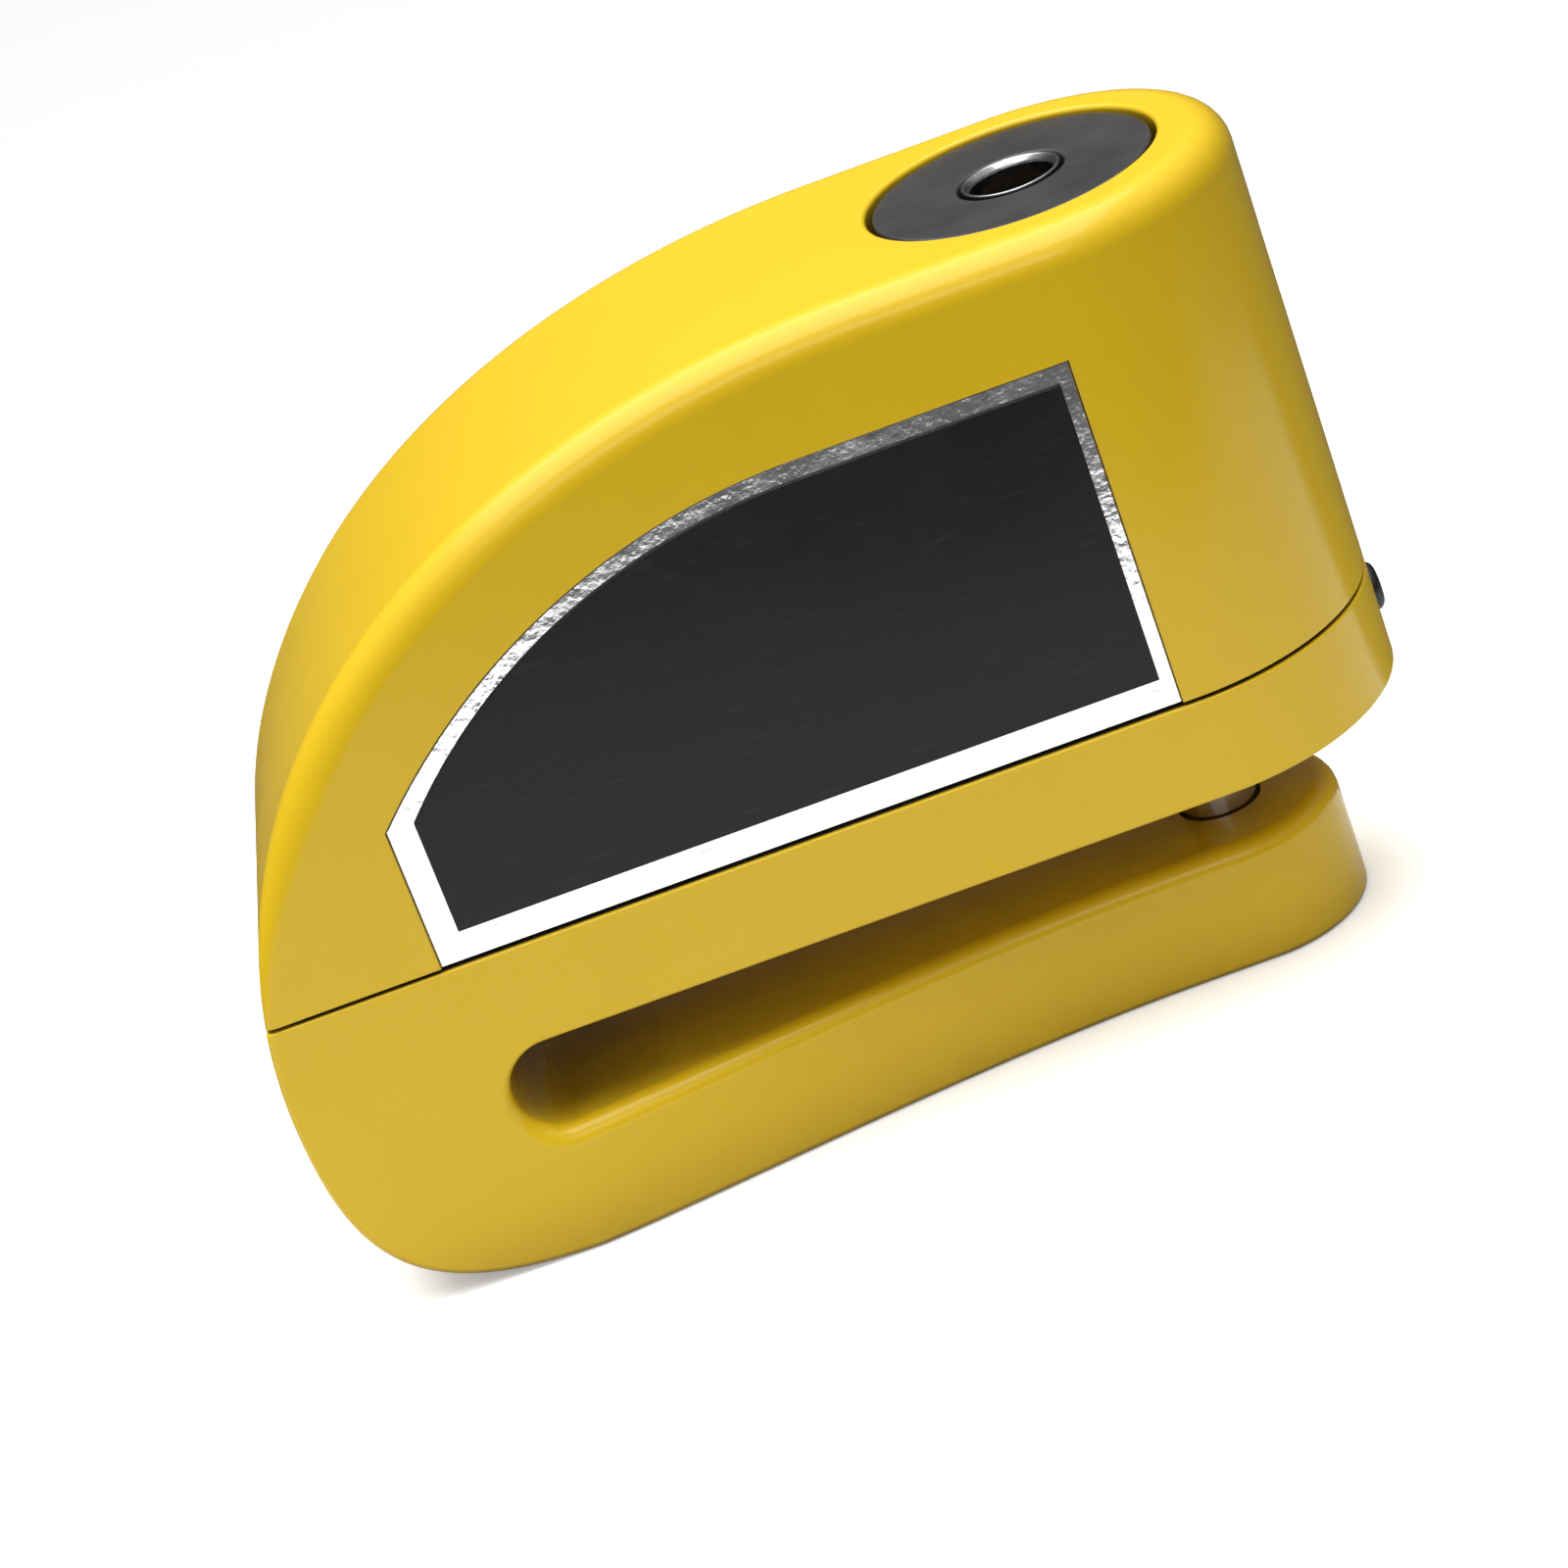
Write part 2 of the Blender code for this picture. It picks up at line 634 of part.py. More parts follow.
def screw_holes():
    """Nose screw hole with its counterbore, board screw holes, and the tail screw with its pocket."""
    head_radius, head_height = NOSE_SCREW_HEAD
    nose = (NOSE_SCREW_X, 0)
    yield rod("nose_screw_hole", SCREW_RADIUS + GAP, SLOT_FLOOR_Z, PARTING_Z + OVERRUN, centre=nose)
    counterbore = head_radius + 5 * GAP / 3
    yield rod("nose_counterbore", counterbore, -OVERRUN, NOSE_HEAD_Z + head_height + GAP, centre=nose)
    low = BOARD_TOP_Z + GAP - POST_SCREW_LENGTH - 3 * GAP
    for place in post_places():
        yield rod("post_hole", POST_SCREW_RADIUS + GAP, low, BOARD_Z + OVERRUN, centre=place)
    along_tail = {"along": "X", "centre": (0, TAIL_SCREW_Z)}
    hole = TAIL_SCREW_RADIUS + GAP
    yield rod("tail_screw_hole", hole, TOWER_RADIUS + OVERRUN / 3, HALF + OVERRUN, **along_tail)
    sink = HALF - TAIL_HEAD_SINK
    yield rod("tail_counterbore", TAIL_HEAD_RADIUS + GAP, sink, HALF + OVERRUN, **along_tail)
    yield block(
        "tongue_pocket",
        (TONGUE_X - GAP, -TONGUE_HALF_WIDTH - GAP, TONGUE_FOOT_Z - GAP),
        (TONGUE_X + TONGUE_THICKNESS + GAP, TONGUE_HALF_WIDTH + GAP, PARTING_Z + OVERRUN),
    )


def seal_loops(spare):
    """Outer and inner edge of the seal round the rim, widened by a spare each side."""
    front = SEAL_FRONT - NOSE_REACH
    loops = []
    for depth in (SEAL_INSET - SEAL_WIDTH / 2 - spare, SEAL_INSET + SEAL_WIDTH / 2 + spare):
        loops.append(plan_outline(HALF - depth, front + depth, EDGE_ROUND - depth))
    return loops


def seal_groove():
    foot = RIM_Z - SEAL_HEIGHT - 2 * SKIN
    return plate("seal_groove", seal_loops(2 * SKIN), foot, PARTING_Z + OVERRUN)


def sound_holes():
    """Seven holes under the siren that let its sound out into the slot."""
    low, high = SLOT_ROOF_Z - OVERRUN, DECK_Z + OVERRUN
    for place in [(SIREN_X, 0), *circle(SOUND_RING, 6, (SIREN_X, 0))]:
        yield rod("sound_hole", SOUND_HOLE_RADIUS, low, high, centre=place, sides=8)


def cover_shell():
    """Hollow cover over the barrel tower and the electronics, with a boss and a tongue for screws."""
    cover = body_block("cover_shell", 0, enamel)
    round_edges(cover, EDGE_ROUND)
    below = block("below_cover", (-NOSE_REACH - CLEAR, -CLEAR, -CLEAR), (CLEAR, CLEAR, COVER_FOOT_Z))
    hollow = body_block("cover_hollow", WALL)
    nose = (NOSE_SCREW_X, 0)
    boss = rod("nose_boss", NOSE_BOSS_RADIUS, 0, BODY_HEIGHT, centre=nose, sides=MEDIUM)
    cut(hollow, boss)
    low, high = BODY_HEIGHT - 2 * WALL, BODY_HEIGHT + OVERRUN
    head_hole = rod("head_hole", HEAD_RADIUS + HEAD_GAP, low, high)
    pilot = rod("nose_pilot", SCREW_RADIUS + GAP, 0, COVER_FOOT_Z + NOSE_BOSS_HOLE, centre=nose)
    cut(cover, below, hollow, head_hole, pilot)
    tongue = block(
        "tongue",
        (TONGUE_X, -TONGUE_HALF_WIDTH, TONGUE_FOOT_Z),
        (TONGUE_X + TONGUE_THICKNESS, TONGUE_HALF_WIDTH, COVER_FOOT_Z + TONGUE_ROOT),
    )
    join(cover, tongue)
    low, high = TONGUE_X - GAP, TONGUE_X + TONGUE_THICKNESS + GAP
    cut(cover, rod("tongue_hole", TAIL_SCREW_RADIUS + GAP, low, high, "X", (0, TAIL_SCREW_Z)))
    foot = COVER_FOOT_Z - OVERRUN / 2
    recess = [(x, z if z > PARTING_Z + OVERRUN / 2 else foot) for x, z in label_outline()]
    recess = inset(recess, -2 * SKIN)
    for side in (-1, 1):
        low, high = sorted((side * (HALF - LABEL_RECESS), side * (HALF + OVERRUN)))
        cut(cover, plate("label_recess", [recess], low, high, upright=True))
    return cover


def labels():
    """On each flank, a bright foil with a dark panel on it, set in a shallow recess."""
    foil_low = HALF - LABEL_RECESS + SKIN
    panel_low = foil_low + LABEL_THICKNESS + SKIN
    for name, side in (("near", -1), ("far", 1)):
        for part, low, outline, finish in (
            ("foil", foil_low, label_outline(), foil),
            ("panel", panel_low, label_outline(PANEL_MARGINS), panel_black),
        ):
            span = sorted((side * low, side * (low + LABEL_THICKNESS)))
            plate(f"{name}_label_{part}", [outline], *span, finish, upright=True)


def body_fasteners():
    """Nose screw up through the solid nose, tail screw through the rim, and the rim's seal."""
    nose = screw_profile(*NOSE_SCREW_HEAD, SCREW_RADIUS, NOSE_SCREW_LENGTH, 0)
    lifted = [(r, -z) for r, z in reversed(nose)]
    screw = turned("nose_cover_screw", lifted, steel, steps=MEDIUM, centre=(NOSE_SCREW_X, 0))
    screw.location.z = NOSE_HEAD_Z
    height = TAIL_HEAD_SINK + TAIL_SCREW_PROUD - GAP / 3
    tail = screw_profile(TAIL_HEAD_RADIUS, height, TAIL_SCREW_RADIUS, TAIL_SCREW_LENGTH, TAIL_REACH)
    centre = (0, TAIL_SCREW_Z)
    turned("tail_cover_screw", tail, dark_steel, steps=MEDIUM, along="X", centre=centre)
    plate("rim_seal", seal_loops(0), RIM_Z - SEAL_HEIGHT, RIM_Z, rubber)


# Barrel


def barrel_housing():
    """Turned housing: a foot for the pin, a tapered skirt that works the switch, and the plug bore."""
    foot = HOUSING_FOOT_Z
    groove = RING_RADIUS + GAP / 2
    profile = [
        (PLUG_BORE_RADIUS, HOUSING_TOP_Z),
        (HOUSING_RADIUS, HOUSING_TOP_Z),
        (HOUSING_RADIUS, RING_Z + groove),
        (RING_GROOVE_RADIUS, RING_Z + groove),
        (RING_GROOVE_RADIUS, RING_Z - groove),
        (HOUSING_RADIUS, RING_Z - groove),
        (HOUSING_RADIUS, LATCH_FLOOR_Z),
        (HOUSING_RADIUS - FOOT_TAPER, foot),
        (PIN_RADIUS + GAP, foot),
        (PIN_RADIUS + GAP, foot + PIN_GRIP + GAP),
        (0, foot + PIN_GRIP + GAP),
    ]
    profile += [(0, LATCH_FLOOR_Z), (PLUG_BORE_RADIUS, LATCH_FLOOR_Z)]
    housing = turned("barrel_housing", profile, zinc, barrel_frame, closed=True)
    side = LATCH_HALF_WIDTH + GAP
    window = block(
        "latch_window",
        (BOLT_REAR, -side, LATCH_FLOOR_Z + SKIN),
        (HOUSING_RADIUS + OVERRUN, side, CAM_Z + SKIN),
        parent=barrel_frame,
    )
    reach = STOP_SCREW_RADIUS + GAP
    stop_groove = block(
        "stop_groove",
        (-HOUSING_RADIUS - OVERRUN, -reach, STOP_SCREW_Z - reach - BARREL_TRAVEL),
        (-PLUG_BORE_RADIUS - HOUSING_WALL / 3, reach, STOP_SCREW_Z + reach),
        parent=barrel_frame,
    )
    dowel_hole = rod(
        "dowel_hole",
        DOWEL_RADIUS + GAP,
        -HOUSING_RADIUS - OVERRUN,
        HOUSING_RADIUS + OVERRUN,
        along="Y",
        centre=(0, DOWEL_Z),
        parent=barrel_frame,
    )
    half = SIDEBAR_WIDTH / 2 + 2 * GAP
    sidebar_groove = block(
        "sidebar_groove",
        (-half, DISC_RADIUS, PLUG_FOOT_Z - GAP),
        (half, PLUG_BORE_RADIUS + GAP, HOUSING_TOP_Z - MOUTH_DEPTH - GAP),
        parent=barrel_frame,
    )
    cut(housing, window, stop_groove, dowel_hole, sidebar_groove)


def head_and_ring():
    """The satin black head that is pressed down, and the rubber ring that keeps water out."""
    hole = KEYWAY_COLLAR_RADIUS + SLIDE_GAP
    rim = HEAD_RIM
    turned(
        "barrel_head",
        [
            (hole, HEAD_TOP_Z),
            (HEAD_RADIUS - rim, HEAD_TOP_Z),
            (HEAD_RADIUS, HEAD_TOP_Z - rim),
            (HEAD_RADIUS, CAP_FOOT_Z),
            (hole, CAP_FOOT_Z),
        ],
        satin_black,
        barrel_frame,
        closed=True,
    )
    middle = (RING_GROOVE_RADIUS + RING_RADIUS + GAP / 2, RING_Z)
    section = list(reversed(circle(RING_RADIUS, 8, middle)))
    turned("head_o_ring", section, rubber, barrel_frame, closed=True, steps=36)


def locking_pin():
    """Hardened pin that crosses the slot and enters the jaw, held in the housing by a dowel."""
    top = HOUSING_FOOT_Z + PIN_GRIP
    profile = [
        (0, top),
        (PIN_RADIUS, top),
        (PIN_RADIUS, PIN_TIP_Z + PIN_CHAMFER),
        (PIN_RADIUS - PIN_CHAMFER, PIN_TIP_Z),
        (0, PIN_TIP_Z),
    ]
    pin = turned("locking_pin", profile, bright_steel, barrel_frame, steps=MEDIUM)
    centre = (0, DOWEL_Z)
    reach = PIN_RADIUS + OVERRUN
    hole = rod("pin_cross_hole", DOWEL_RADIUS + GAP, -reach, reach, "Y", centre, parent=barrel_frame)
    cut(pin, hole)
    rod("pin_dowel", DOWEL_RADIUS, -DOWEL_REACH, DOWEL_REACH, "Y", centre, steel, barrel_frame)


def key_plug():
    """Turning cage with the keyway through its front, open slots for discs and sidebar inside."""
    profile = [
        (KEYWAY_RADIUS, PLUG_TOP_Z),
        (PLUG_RADIUS, PLUG_TOP_Z),
        (PLUG_RADIUS, PLUG_FOOT_Z),
        (0, PLUG_FOOT_Z),
        (0, PLUG_FOOT_Z + PLUG_FLOOR),
        (DISC_RADIUS + GAP, PLUG_FOOT_Z + PLUG_FLOOR),
        (DISC_RADIUS + GAP, PLUG_TOP_Z - MOUTH_DEPTH),
        (KEYWAY_RADIUS, PLUG_TOP_Z - MOUTH_DEPTH),
    ]
    plug = turned("key_plug", profile, brass, plug_frame, closed=True)
    low, high = PLUG_FOOT_Z + PLUG_FLOOR + 2 * GAP, PLUG_TOP_Z - MOUTH_DEPTH - 2 * GAP
    half = SIDEBAR_WIDTH / 2
    slot = block(
        "sidebar_slot",
        (-half - GAP, DISC_RADIUS - OVERRUN / 2, low),
        (half + GAP, PLUG_RADIUS + OVERRUN, high),
        parent=plug_frame,
    )
    cut(plug, slot)
    block(
        "sidebar",
        (-half, DISC_RADIUS + GAP, low + GAP),
        (half, PLUG_RADIUS - SKIN, high - GAP),
        brass,
        plug_frame,
    )
    collar_low = PLUG_TOP_Z + GAP
    top = HEAD_TOP_Z + COLLAR_PROUD
    turned(
        "keyway_collar",
        [
            (KEYWAY_RADIUS, top - GAP),
            (KEYWAY_RADIUS + GAP, top),
            (KEYWAY_COLLAR_RADIUS - GAP / 2, top),
            (KEYWAY_COLLAR_RADIUS, top - GAP / 2),
            (KEYWAY_COLLAR_RADIUS, collar_low),
            (KEYWAY_RADIUS, collar_low),
        ],
        chrome,
        plug_frame,
        closed=True,
        steps=MEDIUM,
    )


def detainer_discs():
    """Code discs in the plug, each with a D-shaped keyway and a sidebar notch, turned apart."""
    low, high = PLUG_FOOT_Z + PLUG_FLOOR, PLUG_TOP_Z - MOUTH_DEPTH
    pitch = (high - low) / DISC_COUNT
    notch_depth = 0.75 * SIDEBAR_WIDTH
    notch = math.degrees(notch_depth / DISC_RADIUS)
    steps_apart = 22
    for index in range(DISC_COUNT):
        turn = 90 + steps_apart * (index % 3 - 1)
        rim = arc((0, 0), DISC_RADIUS, turn + notch, turn + 360 - notch, 22)
        floor = arc((0, 0), DISC_RADIUS - notch_depth, turn - notch, turn + notch, 1)
        keyway = arc((0, 0), KEYWAY_RADIUS - GAP, turn - 140, turn + 140, 12)
        base = low + pitch * (index + 0.5) - DISC_THICKNESS / 2
        loops = [[*rim, *floor], keyway]
        top = base + DISC_THICKNESS
        plate(f"detainer_disc_{index + 1}", loops, base, top, brass, plug_frame)


def latch():
    """Cam on the plug's foot, whose crank pin draws the latch bolt in through a wide slot."""
    top = CAM_Z + CAM_THICKNESS
    cam = rod("latch_cam", CAM_RADIUS, CAM_Z, top, finish=steel, parent=plug_frame, sides=MEDIUM)
    middle = (LATCH_THROW, 0)
    low = LATCH_Z + 2 * GAP
    crank = rod("crank_pin", CRANK_RADIUS, low, top - GAP, centre=middle, parent=plug_frame)
    join(cam, crank)
    bolt_top = LATCH_Z + LATCH_THICKNESS
    bolt = block(
        "latch_bolt",
        (-BOLT_FRONT, -BOLT_HALF_WIDTH, LATCH_Z),
        (BOLT_REAR, BOLT_HALF_WIDTH, bolt_top),
        steel,
        latch_frame,
    )
    tongue = block(
        "bolt_nose",
        (BOLT_REAR - OVERRUN / 4, -LATCH_HALF_WIDTH, LATCH_Z),
        (HOUSING_RADIUS + LATCH_NOSE, LATCH_HALF_WIDTH, bolt_top),
        parent=latch_frame,
    )
    room = CRANK_RADIUS + 3 * GAP / 2
    slot = block(
        "bolt_slot",
        (LATCH_THROW - room, -room, LATCH_Z - OVERRUN),
        (LATCH_THROW + room, LATCH_THROW + room, CAM_Z + OVERRUN),
        parent=latch_frame,
    )
    join(bolt, tongue)
    cut(bolt, slot)


def barrel_guides():
    """Return spring under the housing, and the screw in the tower that keeps the barrel in."""
    low, high = DECK_Z + GAP, HOUSING_FOOT_Z - GAP
    coil("return_spring", SPRING_RADIUS, SPRING_WIRE, low, high, SPRING_TURNS, bright_steel)
    tip = -PLUG_BORE_RADIUS - HOUSING_WALL / 3 - 2 * GAP
    centre = (0, STOP_SCREW_Z)
    rod("barrel_stop_screw", STOP_SCREW_RADIUS, -TOWER_RADIUS, tip, "X", centre, dark_steel)


# Electronics


def siren_and_board():
    """Siren can face down on the deck, and the circuit board over it on four posts."""
    foot = DECK_Z + GAP
    port_radius, port_depth = SIREN_PORT
    profile = [
        (0, foot + SIREN_HEIGHT),
        (SIREN_RADIUS - SIREN_CHAMFER, foot + SIREN_HEIGHT),
        (SIREN_RADIUS, foot + SIREN_HEIGHT - SIREN_CHAMFER),
        (SIREN_RADIUS, foot),
        (port_radius, foot),
        (port_radius, foot + port_depth),
        (0, foot + port_depth),
    ]
    turned("siren", profile, plastic_black, centre=(SIREN_X, 0), steps=36)
    board = block(
        "circuit_board",
        (-BOARD_FRONT, -BOARD_HALF_WIDTH, BOARD_Z),
        (BOARD_REAR_X, BOARD_HALF_WIDTH, BOARD_TOP_Z),
        board_green,
    )
    names = ("front_left", "front_right", "rear_left", "rear_right")
    low, high = BOARD_Z - OVERRUN, BOARD_TOP_Z + OVERRUN
    head_top = BOARD_TOP_Z + GAP + POST_SCREW_HEAD[1]
    profile = screw_profile(*POST_SCREW_HEAD, POST_SCREW_RADIUS, POST_SCREW_LENGTH, head_top)
    for name, place in zip(names, post_places()):
        cut(board, rod("board_hole", POST_SCREW_RADIUS + GAP, low, high, centre=place))
        turned(f"board_screw_{name}", profile, steel, steps=SMALL, centre=place)
    length, width, height = CHIP_SIZE
    top = BOARD_Z - GAP
    block(
        "control_chip",
        (-CHIP_FRONT, -width / 2, top - height),
        (length - CHIP_FRONT, width / 2, top),
        plastic_black,
    )
    foot = BOARD_TOP_Z + GAP
    sensor = ROOM_BESIDE_TRAY / 2 - 8 * GAP / 3
    rod("vibration_sensor", sensor, *SENSOR_SPAN, "X", (BESIDE_TRAY + sensor, foot + sensor), nickel)
    winding = ROOM_BESIDE_TRAY / 2 - 2 * GAP
    centre = (COIL_X, -BESIDE_TRAY - winding)
    rod("boost_coil", winding, foot, foot + COIL_HEIGHT, "Z", centre, copper, sides=MEDIUM)


def battery():
    """Six button cells end to end in an open tray, between two spring contacts."""
    reach = CELL_RADIUS + GAP
    side = reach + TRAY_WALL
    tray = block(
        "battery_tray",
        (CELLS_FRONT_X - TRAY_MARGIN, -side, TRAY_FOOT_Z),
        (CELLS_REAR_X + TRAY_MARGIN, side, CELL_Z),
        plastic_black,
    )
    ends = CONTACT_THICKNESS + 2 * GAP
    low, high = CELLS_FRONT_X - ends, CELLS_REAR_X + ends
    centre = (0, CELL_Z)
    cut(tray, rod("trough", reach, low, high, "X", centre, sides=32))
    for index in range(CELL_COUNT):
        low = CELLS_FRONT_X + index * CELL_PITCH
        high = low + CELL_THICKNESS
        rod(f"button_cell_{index + 1}", CELL_RADIUS, low, high, "X", centre, nickel, sides=28)
    for name, low in (
        ("front_contact", CELLS_FRONT_X - GAP - CONTACT_THICKNESS),
        ("rear_contact", CELLS_REAR_X + GAP),
    ):
        block(
            name,
            (low, -CONTACT_REACH, CELL_Z - CONTACT_REACH),
            (low + CONTACT_THICKNESS, CONTACT_REACH, CELL_Z + CONTACT_REACH),
            nickel,
        )


def arming_switch():
    """Switch under the board, whose plunger the housing's tapered skirt presses in."""
    front, rear = (-TOWER_RADIUS - reach for reach in SWITCH_SPAN)
    body = block(
        "arming_switch",
        (front, -SWITCH_HALF_WIDTH, SWITCH_Z - SWITCH_DEPTH),
        (rear, SWITCH_HALF_WIDTH, BOARD_Z - GAP),
        plastic_black,
    )
    inner = rear - PLUNGER_REACH
    centre = (0, SWITCH_Z)
    cut(body, rod("plunger_hole", PLUNGER_RADIUS + SLIDE_GAP, inner - GAP, rear + OVERRUN, "X", centre))
    skirt = HOUSING_RADIUS - FOOT_TAPER * (LATCH_FLOOR_Z - SWITCH_Z) / FOOT_THICKNESS
    tip = -skirt - GAP
    rod("switch_plunger", PLUNGER_RADIUS, inner, tip, "X", centre, plastic_white, plunger_frame)


clear_scene()
parts = collection("disc_brake_lock")
cutters = collection("cutters")
lock_frame = empty("lock_frame", location=(BARREL_X, 0, 0))
barrel_frame = empty("barrel_frame", lock_frame)
plug_frame = empty("plug_frame", barrel_frame)
latch_frame = empty("latch_frame", barrel_frame)
plunger_frame = empty("plunger_frame", lock_frame)

enamel = material("yellow_enamel", (0.83, 0.62, 0.03), 0.22)
satin_black = material("satin_black", (0.06, 0.06, 0.063), 0.42, 0.6)
chrome = material("chrome", (0.8, 0.8, 0.8), 0.1, 1.0)
bright_steel = material("bright_steel", (0.62, 0.62, 0.63), 0.22, 1.0)
steel = material("steel", (0.42, 0.42, 0.43), 0.35, 1.0)
dark_steel = material("dark_steel", (0.05, 0.05, 0.055), 0.4, 0.8)
zinc = material("zinc", (0.5, 0.5, 0.51), 0.45, 1.0)
nickel = material("nickel", (0.66, 0.64, 0.6), 0.25, 1.0)
brass = material("brass", (0.7, 0.5, 0.2), 0.3, 1.0)
copper = material("copper", (0.6, 0.28, 0.14), 0.35, 1.0)
foil = material("foil", (0.85, 0.85, 0.86), 0.15, 1.0)
panel_black = material("panel_black", (0.01, 0.01, 0.011), 0.25)
rubber = material("rubber", (0.02, 0.02, 0.02), 0.75)
plastic_black = material("plastic_black", (0.03, 0.03, 0.032), 0.5)
plastic_white = material("plastic_white", (0.75, 0.74, 0.7), 0.45)
board_green = material("board_green", (0.02, 0.16, 0.07), 0.4)

base_casting()
cover_shell()
labels()
body_fasteners()
barrel_housing()
head_and_ring()
locking_pin()
key_plug()
detainer_discs()
latch()
barrel_guides()
siren_and_board()
battery()
arming_switch()
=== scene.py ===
# %% [markdown]
# # An alarm disc brake lock
# The lock is slid over a motorcycle's brake disc and its barrel is pressed down, so that a pin
# crosses the slot behind the disc. Two enamelled castings make the body: a jaw with the slot,
# and a hollow cover that holds a siren. This notebook makes the finer surfaces around a packed
# model of plain solids, which gives their places and main sizes.

import json
import math

import bmesh
import bpy
from mathutils import Matrix, Vector

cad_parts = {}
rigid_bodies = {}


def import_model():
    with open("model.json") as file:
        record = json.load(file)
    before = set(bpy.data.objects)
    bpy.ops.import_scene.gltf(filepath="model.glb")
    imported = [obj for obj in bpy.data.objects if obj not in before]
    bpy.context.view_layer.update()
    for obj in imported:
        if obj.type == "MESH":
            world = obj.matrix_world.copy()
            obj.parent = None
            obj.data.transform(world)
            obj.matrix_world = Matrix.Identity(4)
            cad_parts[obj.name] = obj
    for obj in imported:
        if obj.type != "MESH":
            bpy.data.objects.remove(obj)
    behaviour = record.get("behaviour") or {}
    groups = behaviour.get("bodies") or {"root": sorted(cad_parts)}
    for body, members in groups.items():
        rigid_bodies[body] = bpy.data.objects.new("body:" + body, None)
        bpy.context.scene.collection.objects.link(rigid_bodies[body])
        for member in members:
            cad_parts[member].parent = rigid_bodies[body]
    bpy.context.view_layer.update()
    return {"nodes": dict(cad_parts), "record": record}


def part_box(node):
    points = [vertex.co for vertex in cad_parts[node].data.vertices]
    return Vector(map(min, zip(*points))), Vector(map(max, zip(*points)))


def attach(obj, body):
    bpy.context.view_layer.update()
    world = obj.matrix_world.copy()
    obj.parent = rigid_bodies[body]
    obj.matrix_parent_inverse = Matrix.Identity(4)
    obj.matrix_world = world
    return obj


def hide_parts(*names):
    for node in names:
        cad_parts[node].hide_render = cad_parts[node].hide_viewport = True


for startup_object in list(bpy.data.objects):
    bpy.data.objects.remove(startup_object)
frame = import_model()

print("pieces in the packed model:", len(frame["nodes"]))

# %% [markdown]
# ## Places
# Every piece is measured from the barrel's axis and from the underside of the jaw. The packed
# model tells where they are, so a finer piece always lands where the plain one stood. Heights
# are read from the pieces that end there: the seal ends at the rim of the jaw casting, and the
# head ends a little below the roof.

# %% Read the places
MM = 0.001


def low_high(node):
    """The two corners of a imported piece, measured from the barrel's axis."""
    low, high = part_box(node)
    return low - AXIS, high - AXIS


head_low, head_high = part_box("barrel_head")
AXIS = Vector(((head_low.x + head_high.x) / 2, 0, 0))
cover_low, cover_high = low_high("cover_shell")
HALF = cover_high.y
NOSE_X = low_high("base_casting")[0].x
ROOF_Z = cover_high.z
RIM_Z = low_high("rim_seal")[1].z
PARTING_GAP = 0.3 * MM
FOOT_Z = RIM_Z + PARTING_GAP
GAP = 0.3 * MM
print("half width", round(HALF / MM, 2), "nose", round(NOSE_X / MM, 2), "roof", round(ROOF_Z / MM, 2))

# %% [markdown]
# ## Camera
# The lock is seen from a little above and almost square to its flank, with the camera rolled so
# that the nose points down to the left. A long lens keeps the flanks nearly parallel. The
# camera's place is worked out from its angles and its distance, so each can be changed alone.

# %% Set the camera
AIM = Vector((0, 0, 25.8 * MM)) + AXIS
DISTANCE, ASIDE, RAISED = 369.8 * MM, -30.84 * MM, -1.55 * MM
turn, rise, roll = (math.radians(a) for a in (2.09, 23.82, 20.64))
across = Vector((math.cos(turn), math.sin(turn), 0))
back = Vector((math.sin(turn) * math.cos(rise), -math.cos(turn) * math.cos(rise), math.sin(rise)))
above = back.cross(across)
place = AIM + ASIDE * across + RAISED * above + DISTANCE * back
right = math.cos(roll) * across - math.sin(roll) * above
up = math.sin(roll) * across + math.cos(roll) * above
lens = bpy.data.cameras.new("studio_camera")
lens.sensor_width = 36
lens.lens = 112.6
lens.clip_start = 0.01
camera = bpy.data.objects.new("studio_camera", lens)
camera.matrix_world = Matrix.LocRotScale(place, Matrix((right, up, back)).transposed(), None)
bpy.context.scene.collection.objects.link(camera)
bpy.context.scene.camera = camera
bpy.context.scene.view_settings.view_transform = "Standard"
print("camera stands", round(place.length / MM), "mm away")

# %% [markdown]
# ## Floor and light
# Gloss enamel shows what stands round it, so the floor, the lights and the room are shaped for
# what the lock mirrors. The floor could be one plain white, but then its bounce would wash the
# flanks out. It is near white to the camera and in reflections, with a faint glow of its own,
# and a greyer shade of it lights the lock from below.

# %% Lay the floor
NEAR_WHITE = (0.93, 0.93, 0.925, 1)
BOUNCE_GREY = (0.60, 0.60, 0.595, 1)
FLOOR_GLOW = 0.3


def node_tree(material):
    material.use_nodes = True
    return material.node_tree, material.node_tree.nodes["Principled BSDF"]


floor_paint = bpy.data.materials.new("pale_floor")
tree, shader = node_tree(floor_paint)
shader.inputs["Roughness"].default_value = 0.9
shader.inputs["Specular IOR Level"].default_value = 0.1
path = tree.nodes.new("ShaderNodeLightPath")
tone = tree.nodes.new("ShaderNodeMix")
tone.data_type = "RGBA"
tone.inputs["A"].default_value = NEAR_WHITE
tone.inputs["B"].default_value = BOUNCE_GREY
glow = tree.nodes.new("ShaderNodeMath")
glow.operation = "MULTIPLY"
glow.inputs[1].default_value = FLOOR_GLOW
tree.links.new(path.outputs["Is Diffuse Ray"], tone.inputs["Factor"])
tree.links.new(tone.outputs["Result"], shader.inputs["Base Color"])
tree.links.new(path.outputs["Is Camera Ray"], glow.inputs[0])
tree.links.new(glow.outputs[0], shader.inputs["Emission Strength"])
shader.inputs["Emission Color"].default_value = (1, 1, 1, 1)
bpy.ops.mesh.primitive_plane_add(size=8, location=(0, 0, 0))
floor = bpy.context.object
